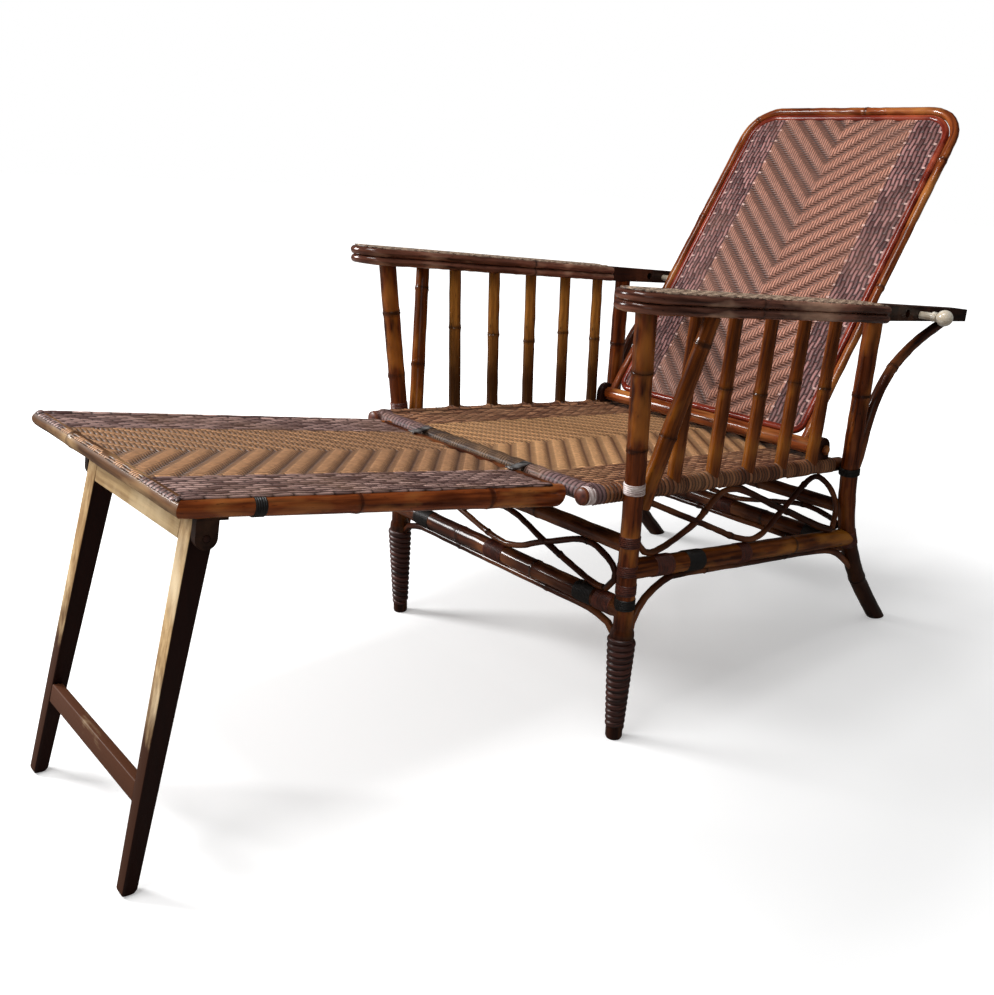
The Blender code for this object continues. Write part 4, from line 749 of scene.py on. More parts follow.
def front_leg_route(side):
    """From the foot up to the arm's underside."""
    return [chair_point(side * 0.268, 0.0, 0.0), chair_point(side * 0.270, -0.008, 0.380),
            chair_point(side * 0.280, -0.029, arm_height(-0.029) - ARM_DEPTH)]


def rear_leg_route(side):
    """From the kicked-out foot up to the peg rail's underside."""
    knots = [(0.734, 0.0), (0.685, 0.049), (0.630, 0.109), (0.585, 0.177), (0.561, 0.229), (0.543, 0.324),
             (REAR_LEG_Y, 0.450), (REAR_LEG_Y, arm_height(REAR_LEG_Y) - ARM_DEPTH)]
    return bent([chair_point(side * 0.2765, y, z) for y, z in knots])


End = namedtuple("End", "word leg leg_radius ankle_radius stretcher pole thin_rod")
FRONT = End("front", front_leg_route, FRONT_LEG_RADIUS, ANKLE_RADIUS,
            stretcher=0.204, pole=0.300, thin_rod=0.160)
REAR = End("rear", rear_leg_route, REAR_LEG_RADIUS, REAR_LEG_RADIUS,
           stretcher=0.176, pole=0.252, thin_rod=0.112)


def side_stretcher_route(side):
    """From the front leg to the rear leg."""
    return [height_point(front_leg_route(side), stretcher_height(0.0)),
            height_point(rear_leg_route(side), stretcher_height(REAR_LEG_LOW_Y))]


def end_route(end, height):
    """From the left leg to the right leg at this height."""
    return [height_point(end.leg(side), height) for side in (1, -1)]


def ankle_size(height):
    """How far out the ankle's winding lies, from the leg's middle."""
    share = clamp((height - ANKLE_LOW) / (ANKLE_HIGH - ANKLE_LOW))
    return ANKLE_LOW_RADIUS + (ANKLE_RADIUS - ANKLE_LOW_RADIUS) * share


def core_size(height):
    """The front leg's radius inside its winding, with its worn foot and the taper above."""
    worn_radius, under_winding = 0.0112, 0.0021
    if height == 0.0:
        return worn_radius
    if height <= ANKLE_LOW:
        return ankle_size(height)
    if height <= ANKLE_HIGH:
        return ankle_size(height) - under_winding
    share = (height - ANKLE_HIGH) / (ANKLE_TOP - ANKLE_HIGH)
    return ANKLE_RADIUS + (FRONT_LEG_RADIUS - ANKLE_RADIUS) * share


def ankle_winding(side, word):
    """One strand wound round the ankle from its foot up, thin at both ends."""
    foot, rise = 0.0175, 0.1445
    proud = 0.0017
    route = front_leg_route(side)
    steps = WINDING_TURNS * WINDING_STEPS
    points, sizes = [], []
    for step in range(steps + 1):
        share = step / steps
        height = foot + rise * share
        angle = side * 2 * math.pi * WINDING_TURNS * share
        from_end = min(step, steps - step) / (WINDING_STEPS / 2)
        size = WINDING_STRAND * min(1.0, 0.4 + 0.6 * from_end)
        radius = ankle_size(height) + proud - size
        points.append(height_point(route, height) + radius * Vector((math.cos(angle), math.sin(angle), 0.0)))
        sizes.append(size)
    shape = bmesh.new()
    sweep(shape, points, sizes)
    finished(f"ankle_winding_{word}", shape, ANKLE_CANE, "frame")


def front_legs():
    """Canes with a wound ankle."""
    heights = (0.0, 0.003, ANKLE_LOW, 0.060, 0.110, 0.160, ANKLE_HIGH, 0.172, ANKLE_TOP)
    for side, word in SIDES:
        route = front_leg_route(side)
        upper = zip(*cane_sections(route, FRONT_LEG_RADIUS, (0.440, 0.545), "front" + word))
        rows = [(height_point(route, height), core_size(height), 0.0) for height in heights]
        rows += [(place, size, ring) for place, size, ring in upper if place.z > ANKLE_TOP + 0.002]
        places, sizes, rings = zip(*rows)
        shape = bmesh.new()
        sweep(shape, places, sizes, rings, sides=20)
        finished(f"leg_front_{word}", shape, FRONT_CANE, "frame", [f"front_leg_{word}"])
        ankle_winding(side, word)


def rear_legs():
    """Canes that kick out backwards, sawn level at the floor."""
    floor = (Vector((0.0, 0.0, 0.0)), Vector((0.0, 0.0, -1.0)))
    beyond = 0.02  # left on below the floor for the saw
    for side, word in SIDES:
        route = rear_leg_route(side)
        knots = [along_to(route, height) + beyond for height in (0.105, 0.455)]
        route = [route[0] + (route[0] - route[1]).normalized() * beyond] + route
        cane(f"leg_rear_{word}", route, (0.01455, REAR_LEG_RADIUS), REAR_CANE, "frame", knots,
             [f"rear_leg_{word}"], sides=20, spacing=0.015, cuts=[floor])


def arms():
    """Pairs of bent rods round each arm, and the board between them."""
    reach, back_y = 0.0342, 0.486
    rod_radius, off_middle = 0.0067, 0.0066
    middle_depth = 0.01325  # between the two rods, under the arm's top
    outline = [(-reach, back_y)] + arc(reach, 180.0, 360.0, 24, y=ARM_NOSE_Y) + [(reach, back_y)]
    for side, word in SIDES:
        shape = bmesh.new()
        for lift in (off_middle, -off_middle):
            route = [chair_point(side * (ARM_X + x), y, arm_height(y) - middle_depth + lift)
                     for x, y in outline]
            seed = f"rim{word}{lift}"
            places, sizes, rings = cane_sections(route, rod_radius, (0.21, 0.83), seed, 0.012)
            sweep(shape, places, sizes, rings, sides=14)
        finished(f"arm_rods_{word}", shape, ARM_CANE, "frame", [f"arm_rim_{word}"])
        repainted(f"arm_board_{word}", BOARD_WOOD)


def grid_piece(name, columns, rows, place, mark, material, body, stands_for, thickness, facing):
    """A mat: a grid whose points go where place says. Its weave is read from what mark says."""
    shape = bmesh.new()
    bmesh.ops.create_grid(shape, x_segments=columns, y_segments=rows, size=0.5)
    mat = shape.verts.layers.float_vector.new("mat")
    for vert in shape.verts:
        across, along = vert.co.x * 2, vert.co.y + 0.5
        vert[mat] = (*mark(across, along), 0.0)
        vert.co = place(across, along)
    shape.normal_update()
    if sum(face.normal.dot(facing) for face in shape.faces) < 0:
        bmesh.ops.reverse_faces(shape, faces=shape.faces)
    piece = made_piece(name, shape, material, body, stands_for)
    wall = piece.modifiers.new("wall", "SOLIDIFY")
    wall.thickness = thickness
    wall.offset = -1.0


def rib(out, along, towards=1.0):
    """The chevron's swell at this place, from -1 in its narrow hollows to 1."""
    phase = (towards * along - out * STRAND_ALONG / STRAND_ACROSS) / (FLOAT * STRAND_ALONG)
    hollow = (1 - math.cos(2 * math.pi * (phase - 0.25))) / 2
    return 1 - 2 * hollow ** 1.8


def edge_strand(out, along):
    """The swell of a side strand, from 0 to 1."""
    column = (out + math.sin(along * EDGE_WAVES) * EDGE_WANDER) / EDGE_STRAND
    whole = math.floor(column)
    reach = (along / EDGE_FLOAT + whole * 0.5) % 1.0
    return arch(column - whole) * (0.2 + 0.8 * arch(reach, 5))


def swell(across, along, field, towards=1.0):
    """How far the weave stands out here."""
    rib_height, float_height, fade = 0.0013, 0.0010, 0.004
    out = abs(across)
    if out < field:
        return rib_height * rib(out, along, towards) * min(1.0, (field - out) / fade)
    return float_height * edge_strand(out, along)


def back_mat():
    """The woven back, inside the red rod."""
    half, low, top = 0.2080, 0.0195, 0.6590
    corners = ((top, 0.050), (low, 0.012))
    forward = 0.0016  # of the hoops' middle
    belly, rise_over = 0.0022, 0.030  # how far it swells, over this much from its edge

    def spot(across, along):
        y = low + (top - low) * along
        wide = half
        for edge, radius in corners:
            inside = abs(edge - y)
            if inside < radius:
                wide = min(wide, half - radius + math.sqrt(max(0.0, radius**2 - (radius - inside) ** 2)))
        return across * wide, y

    def place(across, along):
        x, y = spot(across, along)
        lift = swell(x, y, BACK_FIELD) + belly * clamp(min(half - abs(x), y - low, top - y) / rise_over)
        return on_back.point(x - BACK_OFF, -forward - lift, y)

    grid_piece("woven_back", 210, 215, place, spot, BACK_MAT, "back", ["back_panel"], 0.0035,
               on_back.turn @ Vector((0.0, -1.0, 0.0)))


def over_rail(out, flat_z, rail_out, rail_z, radius, end_angle):
    """Across a mat that lies flat, then climbs over a round side rail and down its outside."""
    rise = math.asin(max(-1.0, min(1.0, (flat_z - rail_z) / radius)))
    meets = rail_out - radius * math.cos(rise)
    if out <= meets:
        return out, flat_z
    angle = max(end_angle, math.pi - rise - (out - meets) / radius)
    return rail_out + radius * math.cos(angle), rail_z + radius * math.sin(angle)


def seat_mat():
    """The woven seat, wrapped down over its side rails, round the spindles' feet and over its front rail."""
    half, flat = 0.2850, 0.0085
    over_side, over_front = 0.0134, 0.0124  # the sheet's radius over the side rails and the front rail
    roll_off = 0.022  # how far behind the front rail the sheet begins to rise
    foot_bulge, strand_bulge = 0.0046, 0.0008  # round a spindle's foot, and of each wrapped strand
    first, last = SEAT_FRONT_Y - over_front * math.radians(125), 0.522

    def spot(across, along):
        return across * half, first + (last - first) * along

    def place(across, along):
        x, y = spot(across, along)
        centre = rail_x(y)
        foot = (0.5 + 0.5 * math.cos(2 * math.pi * (y - SPINDLE_FIRST_Y) / SPINDLE_PITCH)) ** 3
        foot = foot if 0.06 < y < 0.49 else 0.0
        strand = 0.5 + 0.5 * math.sin(2 * math.pi * y / WRAP_STRAND)
        over = clamp((abs(x) - centre + 0.004) / 0.012)
        radius = over_side + over * (foot_bulge * foot + strand_bulge * strand)
        out, up = over_rail(abs(x), flat, centre, 0.0, radius, math.radians(-66 - 12 * foot))
        lift = swell(out, y, SEAT_FIELD, -1.0) if out < centre - 0.012 else 0.0
        if y < SEAT_FRONT_Y + roll_off:
            rise = 0.5 + 0.5 * math.cos(math.pi * clamp((y - SEAT_FRONT_Y) / roll_off))
            up += (over_front - flat) * rise * (1 - over)
            lift *= 1 - rise
        if y < SEAT_FRONT_Y:
            angle = (SEAT_FRONT_Y - y) / over_front * (1 - 0.92 * over)
            up -= over_front * (1 - math.cos(angle))
            y = SEAT_FRONT_Y - over_front * math.sin(angle)
        return chair_point(math.copysign(out, across), y, seat_height(y) + up + lift)

    grid_piece("woven_seat", 230, 200, place, spot, SEAT_MAT, "frame", ["seat_panel"], 0.0012,
               Vector((0.0, 0.0, 1.0)))


def footrest_mat():
    """The woven footrest, drawn over the tops of its side rails and over its toe rail."""
    flat = 0.0035
    over_side, over_toe = 0.0016, 0.0112  # how proud of the side rails, and its radius over the toe rail
    first, last = 0.0365, TOE_RAIL_Y + over_toe * math.radians(48)
    thick, thin = FOOTREST_RAIL_RADII

    def rail_radius(y):
        share = (min(y, FOOTREST_CORNER_Y) - FOOTREST_SEAM_Y) / (FOOTREST_CORNER_Y - FOOTREST_SEAM_Y)
        return thick + (thin - thick) * share

    def spot(across, along):
        y = first + (last - first) * along
        return across * (FOOTREST_HALF - rail_radius(y) * 0.55), y

    def place(across, along):
        x, y = spot(across, along)
        radius = rail_radius(y)
        centre = FOOTREST_HALF - radius
        out, up = over_rail(abs(x), flat, centre, FOOTREST_TOP - radius, radius + over_side, math.radians(66))
        lift = swell(out, y, FOOT_FIELD) if out < centre - 0.008 else 0.0006 * edge_strand(out, y)
        lift *= clamp((TOE_RAIL_Y - y) / 0.012)
        if y > TOE_RAIL_Y:
            angle = (y - TOE_RAIL_Y) / over_toe
            lift = 0.0012 - over_toe * (1 - math.cos(angle))
            y = TOE_RAIL_Y + over_toe * math.sin(angle)
        return on_footrest.point(math.copysign(out, x), -y, up + lift)

    grid_piece("woven_footrest", 215, 205, place, spot, FOOT_MAT, "footrest", ["footrest_panel"], 0.0024,
               on_footrest.turn @ Vector((0.0, 0.0, 1.0)))


def arm_mats():
    """The woven tops of the arms, round in front."""
    half, back_y = 0.0335, 0.487
    lift, crown_height = 0.0008, 0.0014
    rib_height, rib_pitch = 0.0007, 0.016

    def spot(across, along):
        y = (ARM_NOSE_Y - half) + (back_y - ARM_NOSE_Y + half) * along
        wide = half if y > ARM_NOSE_Y else math.sqrt(max(1e-8, half**2 - (y - ARM_NOSE_Y) ** 2))
        return across * wide, y

    for side, word in SIDES:
        def place(across, along, side=side):
            x, y = spot(across, along)
            crown = crown_height * (1 - (x / half) ** 2)
            weave = rib_height * math.sin(2 * math.pi * (y + abs(x) * 0.8) / rib_pitch)
            return chair_point(side * (ARM_X + x), y, arm_height(y) + lift + crown + weave)

        grid_piece(f"woven_arm_{word}", 30, 240, place, spot, ARM_MAT, "frame", [], 0.0024,
                   Vector((0.0, 0.0, 1.0)))


def spindles(side, word):
    """Five canes from the seat's side rail up to the arm."""
    # The far spindles take the copy with painted light and shade.
    material = AMBER_CANE if side > 0 else FAR_CANE_PAINTED_LIGHT
    for number, knot_share in enumerate((0.62, 0.576, 0.532, 0.598, 0.554)):
        y = SPINDLE_FIRST_Y + SPINDLE_PITCH * number
        foot = chair_point(side * (rail_x(y) + 0.006), y, seat_height(y) - 0.004)
        top = chair_point(side * 0.262, y, arm_height(y) - ARM_DEPTH)
        knot = (top - foot).length * knot_share
        cane(f"upright_{number + 1}_{word}", [foot, top], (0.0105, 0.0100), material, "frame",
             (knot,), [f"spindle_{number + 1}_{word}"])


def front_brace(side, word):
    """A cane from the seat's corner up to the arm, leaning forward and outward."""
    ends = [chair_point(side * 0.262, 0.0205, 0.350),
            chair_point(side * 0.311, 0.066, arm_height(0.066) - ARM_DEPTH)]
    cane(f"brace_front_{word}", ends, (0.0122, 0.0110), AMBER_CANE, "frame",
         (0.105, 0.235), [f"front_arm_brace_{word}"])


def rear_brace(side, word):
    """A bent cane, let into the rear leg, that runs up to the peg rail behind the arm."""
    knots = [(0.552, 0.2631), (0.561, 0.2104), (0.578, 0.1582), (0.611, 0.1128), (0.642, 0.0876),
             (0.690, 0.0591), (0.768, 0.0268)]  # y, and the depth under the arm's top
    in_leg = chair_point(side * 0.2785, 0.5445, arm_height(0.5445) - 0.2860)
    route = bent([in_leg] + [chair_point(side * 0.283, y, arm_height(y) - depth) for y, depth in knots])
    cane(f"brace_rear_{word}", route, (0.0098, 0.0083), DARK_CANE, "frame", (0.195,),
         [f"rear_arm_brace_{word}"], sides=16, spacing=0.015)


def uprights():
    """Spindles and the braces before and behind them."""
    for side, word in SIDES:
        spindles(side, word)
        front_brace(side, word)
        rear_brace(side, word)


def seat_rails():
    """The seat's frame."""
    for side, word in SIDES:
        ends = [rail_point(side, y) for y in (SEAT_NOSE_Y, 0.552)]
        cane(f"seat_rail_{word}", ends, SEAT_RAIL_RADIUS, DARK_CANE, "frame", (0.24,),
             [f"seat_side_rail_{word}"])
    for y, word in ((SEAT_FRONT_Y, "front"), (SEAT_REAR_Y, "rear")):
        ends = [chair_point(side * (rail_x(y) - 0.004), y, seat_height(y)) for side in (1, -1)]
        cane(f"seat_rail_{word}", ends, 0.011, DARK_CANE, "frame", (0.24,),
             [f"seat_{word}_rail"])


def poles():
    """Stretchers and upper poles."""
    for side, word in SIDES:
        cane(f"stretcher_side_{word}", side_stretcher_route(side), STRETCHER_RADIUS, AMBER_CANE,
             "frame", (0.40,), [f"side_stretcher_{word}"])
    for end in (FRONT, REAR):
        cane(f"stretcher_{end.word}", end_route(end, end.stretcher), END_STRETCHER_RADIUS, DARK_CANE,
             "frame", (0.18, 0.36), [f"{end.word}_stretcher"])
        cane(f"pole_{end.word}", end_route(end, end.pole), POLE_RADIUS, DARK_CANE,
             "frame", (0.18, 0.36), [f"{end.word}_upper_pole"])


def quarter_bend(foot, head):
    """A quarter of an oval: rises straight from the foot and arrives level at the head."""
    points = []
    for level, rise in arc(1.0, 0.0, 90.0, 5):
        across = 1 - level
        points.append(Vector((foot.x + (head.x - foot.x) * across, foot.y + (head.y - foot.y) * across,
                              foot.z + (head.z - foot.z) * rise)))
    return points


def side_thin_rod(side, word):
    """The thin cane under a side stretcher, bent down to both legs."""
    below = STRETCHER_RADIUS + THIN_ROD_RADIUS + REST_GAP
    ankle = height_point(front_leg_route(side), FRONT.thin_rod)
    kick = height_point(rear_leg_route(side), REAR.thin_rod)
    first, last = [Vector((ankle.x, y, stretcher_height(y + SHIFT.y) - below))
                   for y in (ankle.y + 0.105, kick.y - 0.1615)]
    points = quarter_bend(Vector((ankle.x, ankle.y + 0.0146, ankle.z)), first)
    points += [first.lerp(last, 0.5), last]
    points += [kick + Vector(step) for step in ((0.0, -0.095, 0.064), (0.0, -0.048, 0.036), (0.0, 0.0, 0.0))]
    cane(f"thin_rod_side_{word}", bent(points), THIN_ROD_RADIUS, DARK_CANE, "frame",
         (0.2, 0.42), [f"side_under_rod_{word}"], sides=10)


def end_thin_rod(end):
    """The thin cane under the front or rear stretcher, bent down to both legs."""
    bend = 0.072  # the length of each bend along the stretcher
    left, right = end_route(end, end.thin_rod)
    pole = height_point(end.leg(1), end.stretcher)
    reach = (left.x - right.x) / 2 - end.ankle_radius * 0.75
    run_z = end.stretcher - END_STRETCHER_RADIUS - THIN_ROD_RADIUS - REST_GAP
    middle = Vector((-SHIFT.x, pole.y, run_z))
    halves = []
    for side in (1, -1):
        foot = Vector((middle.x + side * reach, left.y, end.thin_rod))
        halves.append(quarter_bend(foot, middle + Vector((side * (reach - bend), 0.0, 0.0))))
    route = bent(halves[0] + [middle] + halves[1][::-1])
    cane(f"thin_rod_{end.word}", route, THIN_ROD_RADIUS, DARK_CANE, "frame",
         (0.15, 0.36), [f"{end.word}_under_rod"], sides=10)


def thin_rods():
    """The thin canes under the stretchers."""
    for side, word in SIDES:
        side_thin_rod(side, word)
    for end in (FRONT, REAR):
        end_thin_rod(end)


def lattice_knots(lowest, highest):
    """Two rods that cross, as shares of the span and of the height."""
    first = [(0.06, 1.0), ((0.06 + lowest) / 2, 0.42), (lowest, 0.0), ((lowest + 0.87) / 2, 0.48),
             (0.87, 1.0), (0.965, 0.80), (1.0, 0.42), (0.965, 0.0)]
    second = [(0.0, 0.62), (0.0, 0.25), (0.055, 0.0), ((0.055 + highest) / 2, 0.42), (highest, 1.0),
              ((highest + 0.90) / 2, 0.52), (0.90, 0.03), (0.955, 0.0)]
    return first, second


def lattice(word, low, high, turns, node):
    """Both rods of a lattice as one piece."""
    name = f"lattice_{word}"
    shape = bmesh.new()
    for number, knots in enumerate(lattice_knots(*turns)):
        route = bent([low(share).lerp(high(share), rise) for share, rise in knots])
        places, sizes, rings = cane_sections(route, LATTICE_RADIUS, (0.2, 0.43), name + str(number), 0.012)
        sweep(shape, places, sizes, rings, sides=10)
    finished(name, shape, DARK_CANE, "frame", [node])


def lattices():
    """The bent rods between stretchers and rails."""
    rests = LATTICE_RADIUS + REST_GAP
    off_leg = rests + 0.0015
    for side, word in SIDES:
        front = height_point(front_leg_route(side), FRONT.pole) + SHIFT
        rear = height_point(rear_leg_route(side), REAR.pole) + SHIFT
        start = front.y + FRONT_LEG_RADIUS + off_leg
        end_y = rear.y - REAR_LEG_RADIUS - rests

        def low(share, front=front, rear=rear, start=start, end_y=end_y):
            y = start + (end_y - start) * share
            x = front.x + (rear.x - front.x) * y / REAR_LEG_Y
            return chair_point(x, y, stretcher_height(y) + STRETCHER_RADIUS + rests)

        def high(share, side=side, start=start, end_y=end_y):
            y = start + (end_y - start) * share
            return chair_point(side * (rail_x(y) + 0.004), y, seat_height(y) - SEAT_RAIL_RADIUS - rests)

        lattice(word, low, high, (0.51, 0.43), f"side_lattice_{word}")
    for end in (FRONT, REAR):
        bottom = height_point(end.leg(1), end.stretcher) + SHIFT
        top = height_point(end.leg(1), end.pole) + SHIFT
        half = top.x - end.leg_radius - off_leg

        def low(share, half=half, y=bottom.y, z=end.stretcher + END_STRETCHER_RADIUS + rests):
            return chair_point(half * (2 * share - 1), y, z)

        def high(share, half=half, y=top.y, z=end.pole - POLE_RADIUS - rests):
            return chair_point(half * (2 * share - 1), y, z)

        lattice(end.word, low, high, (0.53, 0.52), f"{end.word}_lattice")


# The cap on a side rail's front end: the place along the rail and the radius there.
DOME = ((-0.0024, 0.0035), (-0.0018, 0.0080), (-0.0004, 0.0108), (0.0012, 0.0121), (0.0045, 0.0123))


def lashings():
    """The windings that tie the canes together, and the domed ends of the seat's side rails."""
    black, brown, pale, dull = (bmesh.new() for _ in range(4))
    for side, _ in SIDES:
        near = pale if side > 0 else brown
        leg = front_leg_route(side)
        for shape, height in ((black, 0.215), (brown, 0.237), (brown, 0.2655), (brown, 0.308), (near, 0.384)):
            middle = along_to(leg, height)
            lashing_onto(shape, leg, middle - 0.008, middle + 0.008, FRONT_LEG_RADIUS)
        leg = rear_leg_route(side)
        middle = along_to(leg, 0.322)
        lashing_onto(black, leg, middle - 0.006, middle + 0.006, 0.0168)
        middle = along_to(leg, stretcher_height(REAR_LEG_LOW_Y))
        lashing_onto(brown, leg, middle - 0.016, middle + 0.016, REAR_LEG_RADIUS)
        for shape, start, stop in ((brown, 0.048, 0.086), (black, 0.120, 0.158), (brown, 0.246, 0.274)):
            lashing_onto(shape, side_stretcher_route(side), start, stop, STRETCHER_RADIUS)
        nose = [rail_point(side, y) for y in (SEAT_NOSE_Y, 0.0)]
        lashing_onto(near, nose, 0.004, 0.020, SEAT_RAIL_RADIUS)
        inward = (nose[1] - nose[0]).normalized()
        sweep(brown, [nose[0] + inward * step for step, _ in DOME], [size for _, size in DOME], sides=18)
        corner = [chair_point(side * x, SEAT_FRONT_Y, seat_height(SEAT_FRONT_Y)) for x in (0.232, 0.150)]
        lashing_onto(dull, corner, 0.002, 0.070, 0.0110, strand=0.0034)
    for end in (FRONT, REAR):
        for shape, start, stop in ((black, 0.055, 0.090), (brown, 0.018, 0.050), (brown, 0.250, 0.292),
                                   (black, 0.440, 0.480)):
            lashing_onto(shape, end_route(end, end.stretcher), start, stop, END_STRETCHER_RADIUS)
    for word, shape, material in (("black", black, BLACK_LASHING), ("brown", brown, BROWN_LASHING),
                                  ("pale", pale, PALE_LASHING), ("grey", dull, GREY_LASHING)):
        finished(f"{word}_lashings", shape, material, "frame")


def plank(outline, rule, thickness, bevel):
    """A plank from its outline, with rounded edges, put in place by the rule."""
    shape = bmesh.new()
    face = shape.faces.new([shape.verts.new((x, y, -thickness / 2)) for x, y in outline])
    made = bmesh.ops.extrude_face_region(shape, geom=[face])["geom"]
    top = [item for item in made if isinstance(item, bmesh.types.BMVert)]
    bmesh.ops.translate(shape, vec=(0.0, 0.0, thickness), verts=top)
    edges = [edge for edge in shape.edges if edge.calc_face_angle(0.0) > 0.5]
    bmesh.ops.bevel(shape, geom=edges, offset=bevel, affect="EDGES", segments=3, profile=0.5, material=-1)
    for vert in shape.verts:
        vert.co = rule(*vert.co)
    return shape


def cheeks():
    """The two cheeks that hold the back's pivot."""
    half = 0.020
    foot = PIVOT_Z - seat_height(PIVOT_Y) + 0.0072
    outline = [(-half, -foot), (half, -foot)] + arc(half, 0.0, 180.0, 16)
    for side, word in SIDES:
        centre = side * rail_x(PIVOT_Y)
        shape = plank(outline, lambda x, y, z: chair_point(centre + z, PIVOT_Y + x, PIVOT_Z + y),
                      thickness=0.012, bevel=0.0018)
        finished(f"cheek_{word}", shape, CHEEK_WOOD, "frame", [f"pivot_tab_{word}"])


def hoop_corners(half, top, corner):
    """Round the two top corners of the back, from left to right."""
    x, y = half - corner, top - corner
    return arc(corner, 0.0, 90.0, 14, x, y) + arc(corner, 90.0, 180.0, 14, -x, y)


def back_hoops():
    """The outer hoop and the red rod inside it."""
    low = 0.010
    outline = [(HOOP_HALF, low)] + hoop_corners(HOOP_HALF, HOOP_TOP, HOOP_CORNER) + [(-HOOP_HALF, low)]
    route = [on_back.point(x - BACK_OFF, 0.0, y) for x, y in outline]
    cane("hoop_outer", route, 0.0078, HOOP_CANE, "back", (0.30, 0.56, 0.83, 1.07, 1.31),
         ["back_hoop"], spacing=0.012)
    inset, bend, low = 0.0152, 0.018, 0.0375
    half = HOOP_HALF - inset
    outline = hoop_corners(half, HOOP_TOP - inset, HOOP_CORNER - inset)
    outline += arc(bend, 180.0, 270.0, 8, bend - half, low) + arc(bend, 270.0, 360.0, 8, half - bend, low)
    route = [on_back.point(x - BACK_OFF, 0.0, y) for x, y in outline]
    shape = bmesh.new()
    sweep(shape, route, [0.0062] * len(route), sides=14, closed=True)
    finished("rod_red", shape, RED_ROD, "back", ["back_inner_hoop"])


def pivot_rail():
    """The back's bottom rail, turned down to a pin in each cheek and to a button beyond it."""
    rail, pin_radius = 0.0130, 0.0060
    inner = rail_x(PIVOT_Y) - 0.0065
    outer = inner + 0.013
    half = [(inner - 0.006, rail), (inner - 0.002, 0.0127), (inner - 0.0004, 0.0112), (inner, pin_radius),
            (outer, pin_radius), (outer + 0.0004, 0.0074), (outer + 0.002, 0.0085), (outer + 0.005, 0.0083),
            (outer + 0.0072, 0.0070), (outer + 0.0080, 0.0045)]
    turned = [(-x, radius) for x, radius in reversed(half)] + [(-0.08, rail), (0.09, rail)] + half
    shape = bmesh.new()
    sweep(shape, [on_back.point(x, 0.0, 0.0) for x, _ in turned], [radius for _, radius in turned], sides=20)
    finished("rail_pivot", shape, HOOP_CANE, "back", ["back_pivot_rail"])


def prop_rod():
    """The rod that the back leans on, with its collar and its pale round knob."""
    y, z = 0.65406, 0.58446
    knob_x, knob_radius = 0.340, 0.0135
    turned = [(-0.307, 0.0030), (-0.3065, 0.0050), (-0.305, 0.0062), (0.3185, 0.0062), (0.3192, 0.0080),
              (0.3205, 0.0084), (0.3225, 0.0080), (0.3235, 0.0072), (0.3250, 0.0080), (0.3262, 0.0072)]
    turned += arc(knob_radius, 180.0, 0.0, 16, knob_x)[1:-1]
    turned.append((0.3534, 0.0010))
    shape = bmesh.new()
    sweep(shape, [chair_point(x, y, z) for x, _ in turned], [radius for _, radius in turned], sides=28)
    finished("prop_and_knob", shape, KNOB, "prop", ["prop_rod"])


def footrest_frame():
    """Rails of the footrest with mitred corners, its batten and the iron hooks."""
    thick, thin = FOOTREST_RAIL_RADII
    mitres = []
    for side, word in SIDES:
        ends = [on_footrest.point(side * (FOOTREST_HALF - radius), y, FOOTREST_TOP - radius)
                for y, radius in ((-0.0130, thick), (-FOOTREST_CORNER_Y - 0.012, 0.0099))]
        corner = on_footrest.point(side * FOOTREST_HALF, -FOOTREST_CORNER_Y, 0.0)
        diagonal = on_footrest.turn @ Vector((side, 1.0, 0.0))
        mitres.append((corner, diagonal))
        slant = (on_footrest.point(side * 0.2, -0.0150, FOOTREST_TOP),
                 on_footrest.turn @ Vector((0.0, 1.0, -0.30)))
        cane(f"rail_foot_{word}", ends, FOOTREST_RAIL_RADII, HOOP_CANE, "footrest", (0.135, 0.33),
             [f"footrest_rail_{word}"], sides=24, cuts=[slant, (corner, -diagonal)])
        shape = bmesh.new()
        lashing_onto(shape, ends, 0.445, 0.459, 0.0110)
        finished(f"rail_lashing_{word}", shape, BLACK_LASHING, "footrest")
        repainted(f"footrest_hook_{word}", IRON)
    ends = [on_footrest.point(x, -0.025, FOOTREST_TOP - 0.0105) for x in (0.1995, -0.1995)]
    cane("rail_seam", ends, 0.0105, DARK_CANE, "footrest", (0.13, 0.29), ["footrest_end_rail"])
    ends = [on_footrest.point(x, -TOE_RAIL_Y, FOOTREST_TOP - thin) for x in (0.227, -0.227)]
    cane("rail_toe", ends, thin, PALE_CANE, "footrest", (0.315,), ["footrest_foot_rail"],
         sides=24, spacing=0.030, cuts=mitres)
    repainted("footrest_batten", BATTEN_WOOD)


def leg_edges(side, down):
    """Inner and outer face of a footrest leg this far below its pin."""
    head_width, foot_width = 0.027, 0.0175
    head_inset, foot_inset = (0.030, 0.044) if side > 0 else (0.114, 0.074)
    share = down / LEG_LENGTH
    outer = FOOTREST_HALF - head_inset - (foot_inset - head_inset) * share
    width = head_width + (foot_width - head_width) * share
    return side * (outer - width), side * outer


